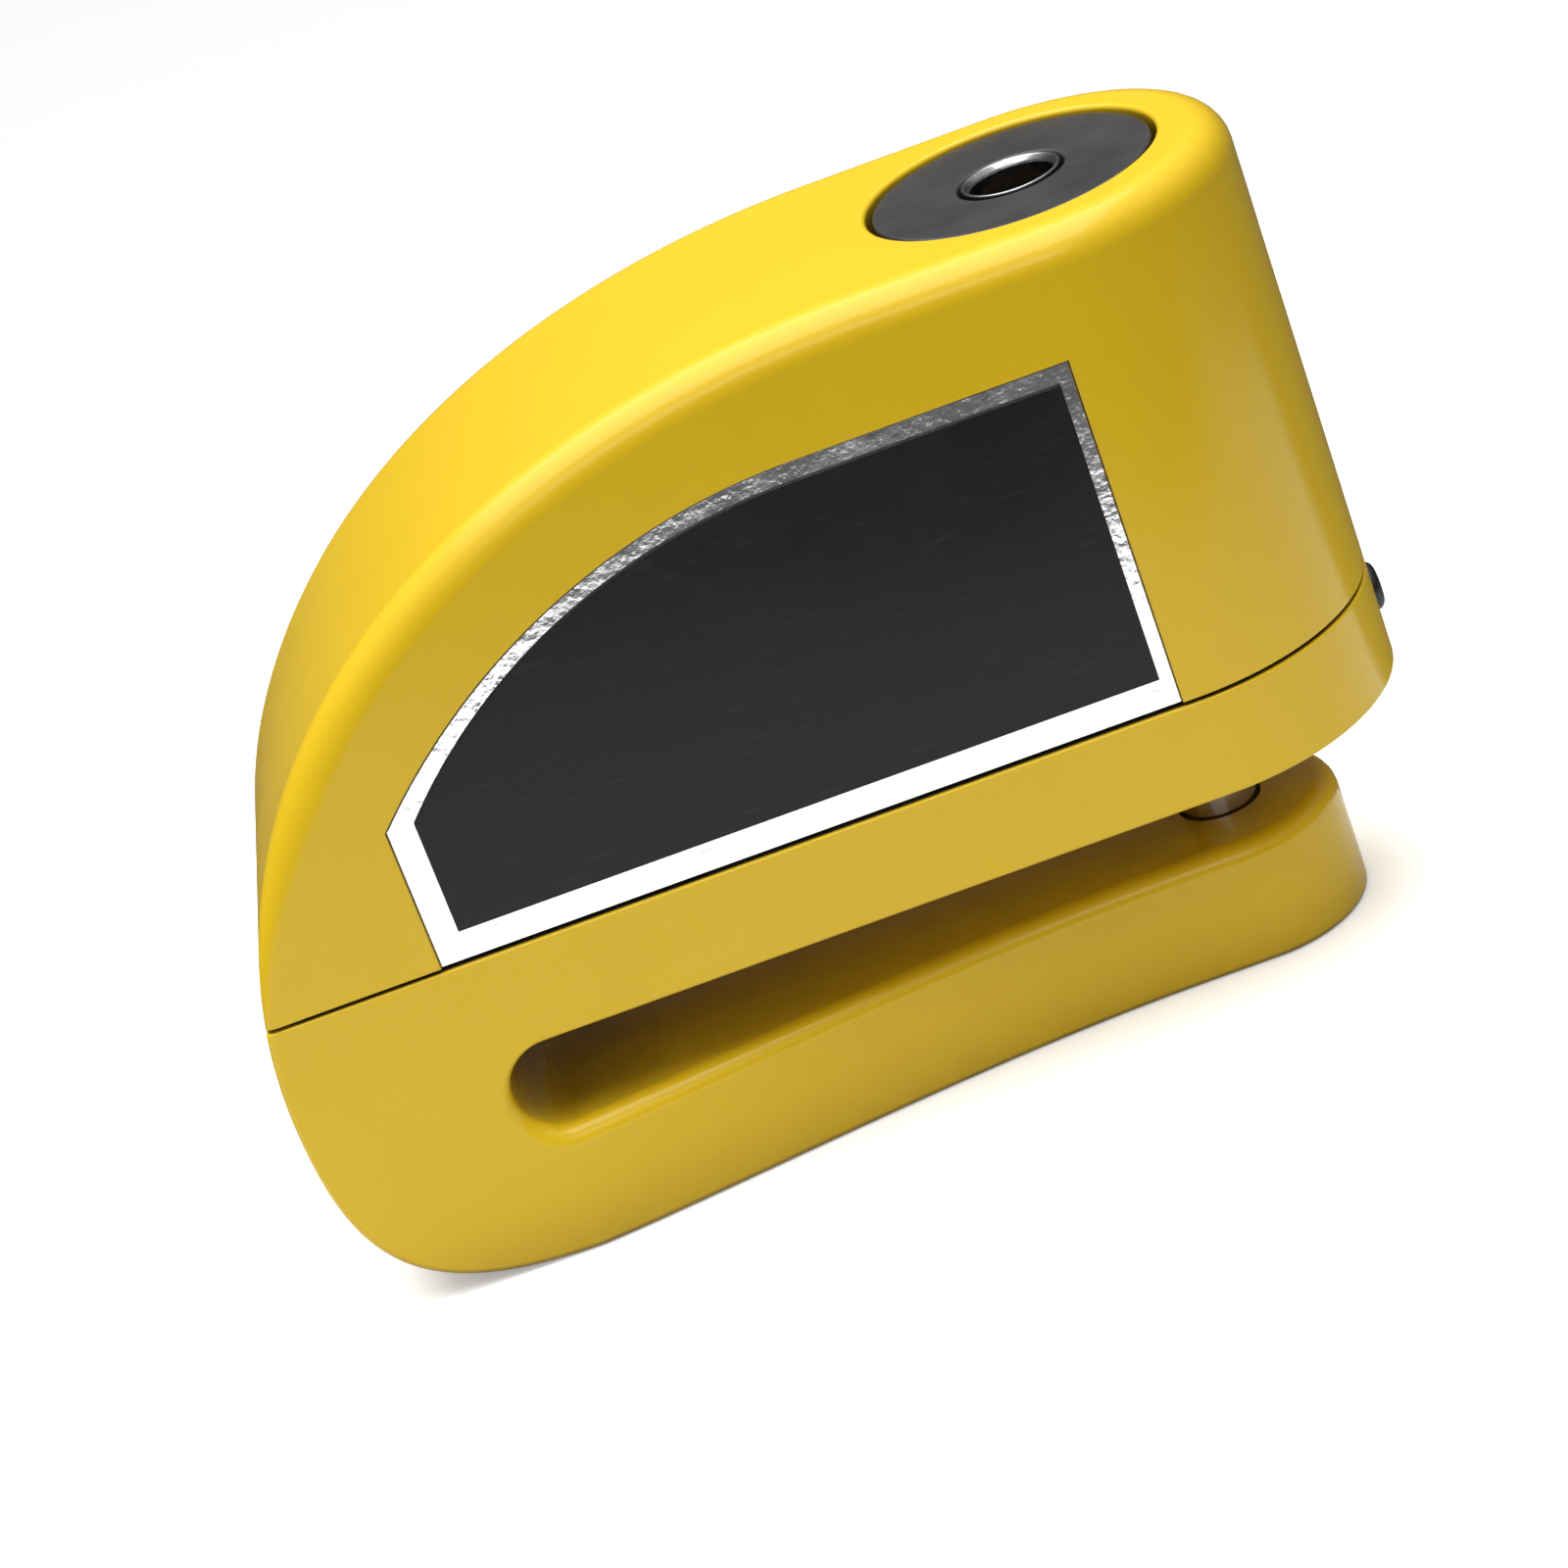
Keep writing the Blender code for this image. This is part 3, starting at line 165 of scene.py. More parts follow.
floor.name = "floor"
floor.data.materials.append(floor_paint)
print("floor laid, metres across:", round(floor.dimensions.x, 1))

# %% [markdown]
# ### Lights
# Small lamps would show in the enamel as hard white dots. Two wide soft boxes, as a product
# studio hangs them, give a broad sheen on the roof and a weaker one on the near flank.

# %% Hang the lights
LIGHT_AIM = (0, 0, 0.03)
WARM_WHITE = (1, 0.985, 0.96)


def soft_light(name, width, height, power, place, colour=(1, 1, 1)):
    """A rectangular soft light that faces the lock."""
    light = bpy.data.lights.new(name, "AREA")
    light.shape = "RECTANGLE"
    light.size, light.size_y = width, height
    light.energy = power
    light.color = colour
    lamp = bpy.data.objects.new(name, light)
    lamp.location = place
    lamp.visible_camera = False
    lamp.rotation_euler = (Vector(place) - Vector(LIGHT_AIM)).to_track_quat("Z", "Y").to_euler()
    bpy.context.scene.collection.objects.link(lamp)
    print("light:", name, "of", power, "W")


soft_light("overhead", 1.2, 1.0, power=10, place=(-0.1, 0.0, 0.9))
soft_light("front_soft_box", 0.6, 0.22, power=1.0, place=(-0.1, -0.75, 0.5), colour=WARM_WHITE)

# %% [markdown]
# ### Dark cloths
# The near flank mirrors the floor in front of the lock, and the tail's round side mirrors the
# floor behind it. If all of that were pale, the enamel would look milky. So dark cloths lie
# round a pale patch, where reflections and bounced light meet them but the camera doesn't. The
# one behind the lock leaves the bounced light alone as well.

# %% Lay the dark cloths
CLOTH_Z = 2 * MM
PALE_PATCH = ((-0.20, -0.208), (0.16, -0.062), (0.16, 0.15), (-0.20, 0.15))
FAR_ROUND = ((-3, -3), (3, -3), (3, 3), (-3, 3))
BEHIND_LOCK = ((-0.06, 0.03), (0.16, 0.03), (0.16, 0.03), (-0.06, 0.03))
BEHIND_FAR = ((-0.2, -0.01), (0.16, 0.02), (0.16, 0.15), (-0.2, 0.15))
cloth_paint = bpy.data.materials.new("dark_cloth")
tree, shader = node_tree(cloth_paint)
shader.inputs["Base Color"].default_value = (0.03, 0.03, 0.03, 1)
shader.inputs["Roughness"].default_value = 0.8


def dark_cloth(name, inner, outer):
    """A flat frame between two outlines of as many corners."""
    bm = bmesh.new()
    near, far = ([bm.verts.new((x, y, CLOTH_Z)) for x, y in loop] for loop in (inner, outer))
    for i in range(len(inner)):
        bm.faces.new((near[i - 1], far[i - 1], far[i], near[i]))
    mesh = bpy.data.meshes.new(name)
    bm.to_mesh(mesh)
    bm.free()
    mesh.materials.append(cloth_paint)
    cloth = bpy.data.objects.new(name, mesh)
    cloth.visible_camera = False
    cloth.visible_shadow = False
    bpy.context.scene.collection.objects.link(cloth)
    return cloth


dark_cloth("dark_cloth", PALE_PATCH, FAR_ROUND)
back_cloth = dark_cloth("back_cloth", BEHIND_LOCK, BEHIND_FAR)
back_cloth.visible_diffuse = False
print("cloths laid round the pale patch: 2")

# %% [markdown]
# ### Room
# The roof's rounded edge mirrors the room itself. A picture of a studio could be wrapped round
# the scene, but a ramp from dim at the horizon to bright overhead is enough for such a plain
# form. The dim part draws the darker line that runs just under the edge.

# %% Tint the room
ROOM_STOPS = ((0.0, 0.03), (0.42, 0.15), (1.0, 1.0))
ROOM_STRENGTH = 1.4
world = bpy.data.worlds.new("studio")
bpy.context.scene.world = world
world.use_nodes = True
sky = world.node_tree
room = sky.nodes["Background"]
where = sky.nodes.new("ShaderNodeTexCoord")
direction = sky.nodes.new("ShaderNodeSeparateXYZ")
ramp = sky.nodes.new("ShaderNodeValToRGB")
ramp.color_ramp.elements.new(ROOM_STOPS[1][0])
for stop, (position, level) in zip(ramp.color_ramp.elements, ROOM_STOPS):
    stop.position = position
    stop.color = (level, level, level, 1)
sky.links.new(where.outputs["Generated"], direction.inputs[0])
sky.links.new(direction.outputs["Z"], ramp.inputs["Fac"])
sky.links.new(ramp.outputs["Color"], room.inputs["Color"])
room.inputs["Strength"].default_value = ROOM_STRENGTH
pale = sky.nodes.new("ShaderNodeBackground")
pale.inputs["Color"].default_value = NEAR_WHITE
seen = sky.nodes.new("ShaderNodeLightPath")
either = sky.nodes.new("ShaderNodeMixShader")
sky.links.new(seen.outputs["Is Camera Ray"], either.inputs["Fac"])
sky.links.new(room.outputs[0], either.inputs[1])
sky.links.new(pale.outputs[0], either.inputs[2])
sky.links.new(either.outputs[0], sky.nodes["World Output"].inputs["Surface"])
print("room tinted in stops:", len(ramp.color_ramp.elements))

# %% [markdown]
# ## Shared surface effects
# Enamel, zinc, steel and plastic differ in colour, but they wear and grain in the same few ways,
# and slots and corners get the same painted shade. Each way is a node group with its own inputs,
# made once and set in each finish with its own sizes. The shader itself stays in the finish.

# %% A helper for node groups


class Nodes:
    """Places nodes in a tree and links them, so that a group reads from top to bottom."""

    def __init__(self, tree):
        self.tree = tree

    def add(self, kind, **settings):
        made = self.tree.nodes.new("ShaderNode" + kind)
        for name, value in settings.items():
            setattr(made, name, value)
        return made

    def join(self, source, target):
        self.tree.links.new(source, target)

    def sum(self, operation, first, second=None):
        made = self.add("Math", operation=operation)
        for socket, value in zip(made.inputs, (first, second)):
            if value is None:
                continue
            if isinstance(value, (int, float)):
                socket.default_value = value
            else:
                self.join(value, socket)
        return made.outputs[0]

    def stretch(self, value, low, high, to_low=0.0, to_high=1.0):
        """Maps a span of a value to another span, and holds it at the ends."""
        made = self.add("MapRange")
        self.join(value, made.inputs["Value"])
        ends = {"From Min": low, "From Max": high, "To Min": to_low, "To Max": to_high}
        for name, number in ends.items():
            if isinstance(number, (int, float)):
                made.inputs[name].default_value = number
            else:
                self.join(number, made.inputs[name])
        return made.outputs["Result"]

    def noise(self, place, size, detail=3.0, roughness=0.5):
        """Noise whose blobs are about as wide as size, in metres."""
        made = self.add("TexNoise")
        self.join(place, made.inputs["Vector"])
        made.inputs["Detail"].default_value = detail
        made.inputs["Roughness"].default_value = roughness
        self.join(self.sum("DIVIDE", 1.0, size), made.inputs["Scale"])
        return made.outputs[0]


def new_group(name, inputs, outputs):
    """A node group with named inputs (name: start value) and outputs, all plain numbers."""
    tree = bpy.data.node_groups.new(name, "ShaderNodeTree")
    for title, value in inputs.items():
        socket = tree.interface.new_socket(title, in_out="INPUT", socket_type="NodeSocketFloat")
        socket.default_value = value
    for title in outputs:
        tree.interface.new_socket(title, in_out="OUTPUT", socket_type="NodeSocketFloat")
    ends = tree.nodes.new("NodeGroupInput").outputs, tree.nodes.new("NodeGroupOutput").inputs
    print("group:", name, "gives", ", ".join(outputs))
    return Nodes(tree), ends


# %% [markdown]
# ### Grain
# Cast, moulded and painted skins are never quite even. Two sizes of noise, a fine one and one
# seven times wider, give a height for the bump and a slow tone for the colour.

# %% Grain
grain, (given, result) = new_group("grain", {"Size": 0.0006, "Softness": 0.5}, ("Height", "Tone"))
spot = grain.add("TexCoord").outputs["Object"]
fine = grain.noise(spot, given["Size"], 2.0)
wide = grain.noise(spot, grain.sum("MULTIPLY", given["Size"], 7.0), 4.0)
grain.join(grain.sum("ADD", fine, grain.sum("MULTIPLY", wide, given["Softness"])), result["Height"])
grain.join(grain.stretch(wide, 0.3, 0.7), result["Tone"])

# %% [markdown]
# ### Edge wear
# Hands and pockets rub the edges first. A mask could be painted, but a Bevel node finds edges by
# itself: where its rounded normal leaves the true one, there is an edge. Noise breaks the line
# up, because wear is never even.

# %% Edge wear
wear, (given, result) = new_group("edge_wear", {"Reach": 0.0003, "Break up": 0.002, "Amount": 1.0}, ("Mask",))
spot = wear.add("TexCoord").outputs["Object"]
rounded = wear.add("Bevel", samples=4)
wear.join(given["Reach"], rounded.inputs["Radius"])
true_normal = wear.add("NewGeometry").outputs["Normal"]
match = wear.add("VectorMath", operation="DOT_PRODUCT")
wear.join(rounded.outputs[0], match.inputs[0])
wear.join(true_normal, match.inputs[1])
edge = wear.stretch(match.outputs["Value"], 0.995, 0.90)
patch = wear.stretch(wear.noise(spot, given["Break up"], 4.0), 0.38, 0.62)
wear.join(wear.sum("MULTIPLY", wear.sum("MULTIPLY", edge, patch), given["Amount"]), result["Mask"])

# %% [markdown]
# ### Handling
# Fingers leave a thin film, with patches of more and less gloss, and keys leave fine scratches.
# A scratch is noise stretched in one direction, cut off so that only its peaks stay. Three
# directions keep the scratches from looking combed.

# %% Handling
film, (given, result) = new_group("handling", {"Size": 0.012, "Scratch length": 0.004}, ("Film", "Scratch"))
spot = film.add("TexCoord").outputs["Object"]
film.join(film.stretch(film.noise(spot, given["Size"], 5.0, 0.6), 0.3, 0.7), result["Film"])
lines = []
for tilt in (0.4, 1.3, 2.4):
    turned_spot = film.add("Mapping")
    turned_spot.inputs["Rotation"].default_value = (tilt, tilt * 1.7, tilt * 0.6)
    turned_spot.inputs["Scale"].default_value = (1, 18, 6)
    film.join(spot, turned_spot.inputs["Vector"])
    streak = film.noise(turned_spot.outputs[0], given["Scratch length"], 1.0)
    lines.append(film.stretch(streak, 0.71, 0.74))
most = film.sum("MAXIMUM", film.sum("MAXIMUM", lines[0], lines[1]), lines[2])
film.join(most, result["Scratch"])

# %% [markdown]
# ### Painted shade in recesses
# Slots and corners are painted darker, as the shade that falls in them. Ambient occlusion measures
# how closed in each spot is, so the mask fits any shape.

# %% Painted shade in recesses
# Painted shade: the more closed in a spot is, the darker it is painted.
painted_recess_shade, (given, result) = new_group("painted_recess_shade", {"Reach": 0.012, "Break up": 0.004}, ("Mask",))
spot = painted_recess_shade.add("TexCoord").outputs["Object"]
openness = painted_recess_shade.add("AmbientOcclusion", samples=6)
painted_recess_shade.join(given["Reach"], openness.inputs["Distance"])
deep = painted_recess_shade.stretch(openness.outputs["AO"], 0.7, 0.2)
patch = painted_recess_shade.stretch(painted_recess_shade.noise(spot, given["Break up"], 4.0), 0.2, 0.8, 0.75, 1.0)
painted_recess_shade.join(painted_recess_shade.sum("MULTIPLY", deep, patch), result["Mask"])

# %% [markdown]
# ### Turning marks
# A lathe leaves fine rings round the barrel's axis. Noise that knows only the distance from the
# axis and the height gives the same rings on a face and round a rim, and needs no unwrapping.

# %% Turning marks
rings, (given, result) = new_group("turning_marks", {"Pitch": 0.00012, "Axis x": 0.0}, ("Height",))
spot = rings.add("SeparateXYZ")
rings.join(rings.add("NewGeometry").outputs["Position"], spot.inputs[0])
from_axis = rings.sum("SUBTRACT", spot.outputs["X"], given["Axis x"])
squares = [rings.sum("POWER", side, 2.0) for side in (from_axis, spot.outputs["Y"])]
radius = rings.sum("SQRT", rings.sum("ADD", *squares))
along = rings.add("CombineXYZ")
rings.join(radius, along.inputs["X"])
rings.join(spot.outputs["Z"], along.inputs["Y"])
rings.join(rings.noise(along.outputs[0], given["Pitch"], 3.0, 0.7), result["Height"])

# %% [markdown]
# ## Finishes
# Each finish is one material: a colour that varies a little with the grain, a roughness that
# varies with handling, a bump from the grain, and bare or worn colour on the edges. One builder
# makes the plain ones from a few numbers. The ones with a pattern of their own add to it.

# %% The finish builder
WORN_REACH = 0.2 * MM


class Finish:
    """A material whose colour, roughness and bump come from the shared groups."""

    def __init__(self, name, colour, roughness, metallic=0.0):
        self.material = bpy.data.materials.new(name)
        tree, self.shader = node_tree(self.material)
        self.nodes = Nodes(tree)
        self.colour = colour
        self.material.diffuse_color = (*colour, 1)
        self.shader.inputs["Base Color"].default_value = (*colour, 1)
        self.shader.inputs["Roughness"].default_value = roughness
        self.shader.inputs["Metallic"].default_value = metallic
        self.colour_now = None
        print("finish:", name)

    def group(self, name, **values):
        made = self.nodes.add("Group")
        made.node_tree = bpy.data.node_groups[name]
        for title, value in values.items():
            made.inputs[title.replace("_", " ")].default_value = value
        return made.outputs

    def tint(self, mask, colour):
        """Mixes a colour in where a mask is 1, over the colour so far."""
        mix = self.nodes.add("Mix", data_type="RGBA")
        mix.inputs["B"].default_value = (*colour, 1)
        if self.colour_now is None:
            mix.inputs["A"].default_value = (*self.colour, 1)
        else:
            self.nodes.join(self.colour_now, mix.inputs["A"])
        self.nodes.join(mask, mix.inputs["Factor"])
        self.colour_now = mix.outputs["Result"]
        self.nodes.join(self.colour_now, self.shader.inputs["Base Color"])

    def gloss(self, mask, low, high):
        """Roughness from low to high as a mask goes from 0 to 1."""
        value = self.nodes.stretch(mask, 0.0, 1.0, low, high)
        self.nodes.join(value, self.shader.inputs["Roughness"])

    def bump(self, height, depth):
        """A bump of a real depth in metres, over any bump so far."""
        made = self.nodes.add("Bump")
        made.inputs["Distance"].default_value = depth
        made.inputs["Strength"].default_value = 1.0
        self.nodes.join(height, made.inputs["Height"])
        normal = self.shader.inputs["Normal"]
        if normal.is_linked:
            self.nodes.join(normal.links[0].from_socket, made.inputs["Normal"])
        self.nodes.join(made.outputs[0], normal)


def plain_finish(name, colour, roughness, metallic, grain_size, grain_depth, shade, worn):
    """A finish with grain, handling and, if worn is a colour, worn edges. Shade is how dark the
    colour gets in the grain's deeper tone."""
    made = Finish(name, colour, roughness, metallic)
    skin = made.group("grain", Size=grain_size)
    touch = made.group("handling")
    made.tint(skin["Tone"], tuple(c * shade for c in colour))
    if worn:
        made.tint(made.group("edge_wear", Reach=WORN_REACH)["Mask"], worn)
    made.gloss(touch["Film"], roughness * 0.85, roughness * 1.2)
    made.bump(skin["Height"], grain_depth)
    return made.material


# %% [markdown]
# ### Yellow enamel
# The body is die-cast zinc under a thick baked enamel. Up close such a skin is never dead flat:
# it has a faint long ripple, called orange peel, and it thins on sharp edges, where it looks a
# little deeper in colour. The ripple is a very shallow bump, so that reflections stay clean but
# not perfect.

# %% Yellow enamel
enamel = Finish("yellow_enamel", (0.775, 0.515, 0.0135), 0.2)
skin = enamel.group("grain", Size=0.0011, Softness=0.8)
touch = enamel.group("handling", Size=0.02, Scratch_length=0.006)
enamel.tint(enamel.nodes.sum("MULTIPLY", skin["Tone"], 0.35), (0.745, 0.485, 0.012))
# Painted shade: slots and corners are tinted dark brown where ambient occlusion finds them closed in.
enamel.tint(enamel.group("painted_recess_shade")["Mask"], (0.20, 0.12, 0.006))
worn = enamel.group("edge_wear", Reach=0.00025, Amount=0.5)["Mask"]
enamel.tint(worn, (0.62, 0.38, 0.02))
enamel.gloss(touch["Film"], 0.17, 0.25)
enamel.bump(skin["Height"], 0.000008)
enamel.shader.inputs["Specular IOR Level"].default_value = 0.35

# %% [markdown]
# ### Head, keyway and label
# The key head is black-coated steel with a satin face, turned on a lathe, so it has faint rings.
# The keyway sleeve is chromed. The label is a mirror foil with a dark glossy panel on it. The
# foil is never quite flat, so it mottles what it reflects.

# %% Satin black, chrome, foil and panel
satin_black = Finish("satin_black", (0.052, 0.051, 0.053), 0.36, 0.55)
touch = satin_black.group("handling", Size=0.006, Scratch_length=0.002)
marks = satin_black.group("turning_marks", Pitch=0.00016, Axis_x=AXIS.x)["Height"]
satin_black.tint(touch["Film"], (0.078, 0.076, 0.078))
satin_black.tint(satin_black.group("edge_wear", Reach=0.00018, Break_up=0.001)["Mask"], (0.30, 0.29, 0.28))
satin_black.gloss(touch["Film"], 0.30, 0.42)
satin_black.bump(marks, 0.0000035)

chrome = Finish("chrome", (0.42, 0.42, 0.44), 0.15, 1.0)
touch = chrome.group("handling", Size=0.003, Scratch_length=0.0012)
chrome.tint(touch["Film"], (0.20, 0.20, 0.21))
chrome.tint(chrome.group("edge_wear", Reach=0.00012, Break_up=0.0008)["Mask"], (0.85, 0.85, 0.87))
chrome.tint(touch["Scratch"], (0.6, 0.6, 0.62))
chrome.gloss(touch["Film"], 0.1, 0.24)
chrome.bump(chrome.group("grain", Size=0.0004)["Height"], 0.000003)

foil = Finish("label_foil", (0.86, 0.86, 0.87), 0.15, 1.0)
skin = foil.group("grain", Size=0.0007, Softness=1.0)
touch = foil.group("handling", Size=0.004, Scratch_length=0.002)
foil.tint(touch["Scratch"], (0.6, 0.6, 0.61))
foil.gloss(touch["Film"], 0.1, 0.2)
foil.bump(skin["Height"], 0.00004)

panel = Finish("label_panel", (0.012, 0.012, 0.013), 0.24)
skin = panel.group("grain", Size=0.0009, Softness=1.0)
touch = panel.group("handling", Size=0.01, Scratch_length=0.004)
panel.tint(touch["Film"], (0.016, 0.016, 0.018))
panel.tint(panel.nodes.sum("MULTIPLY", touch["Scratch"], 0.06), (0.10, 0.10, 0.11))
panel.gloss(touch["Film"], 0.2, 0.32)
panel.bump(skin["Height"], 0.000006)
panel.shader.inputs["Specular IOR Level"].default_value = 0.2

# %% [markdown]
# ### Metals, rubber and plastics inside
# The rest are everyday finishes: ground and plated steel, cast zinc, brass discs, copper wire, a
# soft rubber ring and moulded plastics. They differ only in numbers, so one table makes them:
# colour, roughness, metallic, grain size, grain depth, shade and worn colour.

# %% The plain finishes
bare = {
    "bright_steel": ((0.62, 0.62, 0.63), 0.2, 1.0, 0.0003, 0.000003, 0.9, (0.8, 0.8, 0.8)),
    "steel": ((0.42, 0.42, 0.43), 0.34, 1.0, 0.0003, 0.000005, 0.8, (0.6, 0.6, 0.6)),
    "dark_steel": ((0.045, 0.045, 0.05), 0.38, 0.8, 0.0003, 0.000005, 0.8, (0.25, 0.25, 0.25)),
    "zinc": ((0.50, 0.50, 0.51), 0.42, 1.0, 0.0005, 0.00001, 0.82, (0.66, 0.66, 0.66)),
    "nickel": ((0.66, 0.64, 0.60), 0.24, 1.0, 0.0004, 0.000004, 0.9, (0.75, 0.74, 0.7)),
    "brass": ((0.60, 0.52, 0.38), 0.28, 1.0, 0.0004, 0.000005, 0.85, (0.85, 0.68, 0.36)),
    "copper_coil": ((0.60, 0.28, 0.14), 0.33, 1.0, 0.0004, 0.000006, 0.8, None),
    "rubber": ((0.018, 0.018, 0.018), 0.72, 0.0, 0.0004, 0.00001, 1.6, None),
    "siren_case": ((0.022, 0.022, 0.024), 0.5, 0.0, 0.0005, 0.00001, 1.5, (0.06, 0.06, 0.06)),
    "black_plastic": ((0.028, 0.028, 0.03), 0.48, 0.0, 0.0005, 0.00001, 1.5, (0.07, 0.07, 0.07)),
    "white_plastic": ((0.74, 0.73, 0.69), 0.44, 0.0, 0.0005, 0.000006, 0.9, None),
}
finishes = {name: plain_finish(name, *numbers) for name, numbers in bare.items()}
finishes.update(enamel=enamel.material, satin_black=satin_black.material, chrome=chrome.material)
finishes.update(label_foil=foil.material, label_panel=panel.material)

# %% [markdown]
# ### Circuit board
# The board is green lacquer over copper tracks, which show as lighter raised lines. A Voronoi
# pattern with square distances gives such lines, without drawing a circuit that nobody reads.

# %% Circuit board
TRACKS_PER_METRE = 420
board = Finish("circuit_board", (0.010, 0.10, 0.045), 0.32)
spot = board.nodes.add("TexCoord").outputs["Object"]
tracks = board.nodes.add("TexVoronoi", feature="DISTANCE_TO_EDGE", distance="MANHATTAN")
tracks.inputs["Scale"].default_value = TRACKS_PER_METRE
board.nodes.join(spot, tracks.inputs["Vector"])
track = board.nodes.stretch(tracks.outputs["Distance"], 0.10, 0.06)
touch = board.group("handling", Size=0.004)
board.tint(board.group("grain", Size=0.0008)["Tone"], (0.008, 0.08, 0.036))
board.tint(track, (0.035, 0.22, 0.09))
board.gloss(touch["Film"], 0.25, 0.4)
board.bump(track, 0.00003)
finishes["circuit_board"] = board.material
print("finishes:", len(finishes))

# %% [markdown]
# ## Shaping tools
# Most of the lock is made in three ways: a flat outline given thickness, a profile turned about
# the barrel's axis, and one solid cut from another. The helpers give closed meshes, with corners
# that are softened as the real tools leave them, because a perfectly sharp edge never catches a
# highlight.

# %% Outlines


def bezier(start, handle, far_handle, end, steps):
    """Points along a cubic curve, both ends included."""
    points = []
    for step in range(steps + 1):
        t = step / steps
        weights = ((1 - t) ** 3, 3 * t * (1 - t) ** 2, 3 * t * t * (1 - t), t**3)
        ends = (start, handle, far_handle, end)
        points.append(tuple(sum(w * p[axis] for w, p in zip(weights, ends)) for axis in (0, 1)))
    return points


def arc(centre, radius, start, end, steps):
    """Points along a circle's arc between two angles in degrees, both ends included."""
    angles = [math.radians(start + (end - start) * step / steps) for step in range(steps + 1)]
    return [(centre[0] + radius * math.cos(a), centre[1] + radius * math.sin(a)) for a in angles]


def circle(radius, sides=96, centre=(0, 0)):
    return arc(centre, radius, 0, 360, sides)[:-1]


def inset(outline, distance):
    """A closed outline moved inwards by a distance, whichever way round it runs."""
    count = len(outline)
    pairs = [(outline[i - 1], outline[i]) for i in range(count)]
    side = 1 if sum(a[0] * b[1] - b[0] * a[1] for a, b in pairs) > 0 else -1
    normals = []
    for (ax, ay), (bx, by) in pairs:
        length = math.hypot(bx - ax, by - ay)
        normals.append((-(by - ay) / length * side, (bx - ax) / length * side))
    moved = []
    for i, (x, y) in enumerate(outline):
        (ax, ay), (bx, by) = normals[i], normals[(i + 1) % count]
        share = distance / (1 + ax * bx + ay * by)
        moved.append((x + (ax + bx) * share, y + (ay + by) * share))
    return moved


def softened(profile, radius, steps=3, closed=True):
    """The profile with each corner cut to a small arc, as much of one as its sides allow."""
    count = len(profile)
    points = []
    for i, corner in enumerate(profile):
        if not closed and i in (0, count - 1):
            points.append(corner)
            continue
        here = Vector(corner)
        before, after = Vector(profile[i - 1]) - here, Vector(profile[(i + 1) % count]) - here
        if corner[0] == 0 or before.angle(after) > math.radians(155):
            points.append(corner)
            continue
        reach = min(radius, before.length * 0.45, after.length * 0.45)
        start, end = here + before.normalized() * reach, here + after.normalized() * reach
        for step in range(steps + 1):
            t = step / steps
            points.append(tuple((1 - t) ** 2 * start + 2 * t * (1 - t) * here + t * t * end))
    return points


# %% [markdown]
# ### Solids
# A prism suits what is stamped or cast, and a turned section suits what comes off a lathe. Both
# are built from bare points, so that the meshes are closed and hold no hidden faces.

# %% Solids


def new_piece(name, bm):
    """An object on the barrel's axis with the mesh built so far."""
    bmesh.ops.recalc_face_normals(bm, faces=bm.faces)
    mesh = bpy.data.meshes.new(name)
    bm.to_mesh(mesh)
    bm.free()
    obj = bpy.data.objects.new(name, mesh)
    obj.location = AXIS
    bpy.context.scene.collection.objects.link(obj)
    return obj


def prism(name, outline, low, high, upright=False):
    """A flat outline with thickness: level between two heights, or upright between two y."""
    bm = bmesh.new()
    ends = []
    for depth in (low, high):
        ends.append([bm.verts.new((u, depth, v) if upright else (u, v, depth)) for u, v in outline])
    for end in ends:
        bm.faces.new(end)
    for i in range(len(outline)):
        bm.faces.new((ends[0][i - 1], ends[0][i], ends[1][i], ends[1][i - 1]))
    return new_piece(name, bm)


def box(name, low, high):
    outline = [(low[0], low[1]), (high[0], low[1]), (high[0], high[1]), (low[0], high[1])]
    return prism(name, outline, low[2], high[2])


def turned(name, profile, steps=96, along="Z", centre=(0, 0), soft=0.0):
    """(radius, height) pairs, in order round a closed section, turned about an axis. A pair on
    the axis has radius 0, and the section closes along the axis if both its ends are there."""
    on_axis = profile[0][0] == 0 and profile[-1][0] == 0
    if soft:
        profile = softened(profile, soft, closed=not on_axis)
    bm = bmesh.new()
    angles = [2 * math.pi * k / steps for k in range(steps)]
    rows = []
    for r, h in profile:
        spots = [(r * math.cos(a), r * math.sin(a), h) for a in (angles if r else angles[:1])]
        if along == "X":
            spots = [(z, y + centre[0], -x + centre[1]) for x, y, z in spots]
        elif along == "Y":
            spots = [(x + centre[0], z, y + centre[1]) for x, y, z in spots]
        else:
            spots = [(x + centre[0], y + centre[1], z) for x, y, z in spots]
        rows.append([bm.verts.new(p) for p in spots])
    pairs = list(zip(rows, rows[1:])) + ([] if on_axis else [(rows[-1], rows[0])])
    for one, two in pairs:
        for k in range(steps):
            after = k + 1
            corners = [one[k % len(one)], one[after % len(one)], two[after % len(two)], two[k % len(two)]]
            unique = list(dict.fromkeys(corners))
            if len(unique) > 2:
                bm.faces.new(unique)
    return new_piece(name, bm)


def rod(name, radius, low, high, along="Z", centre=(0, 0), steps=48):
    return turned(name, [(0, low), (radius, low), (radius, high), (0, high)], steps, along, centre)


# %% [markdown]
# ### Cutting and rounding
# Real parts are milled and drilled from a blank, and exact booleans do the same. Each is settled
# into the mesh at once, so that the next step starts from plain faces. Edges are rounded by
# their angle where all are alike, and by a chosen width where they differ.

# %% Cutting, rounding and finishing
WIDEST_ROUND = 3 * MM
SHARP_ANGLE = math.radians(38)


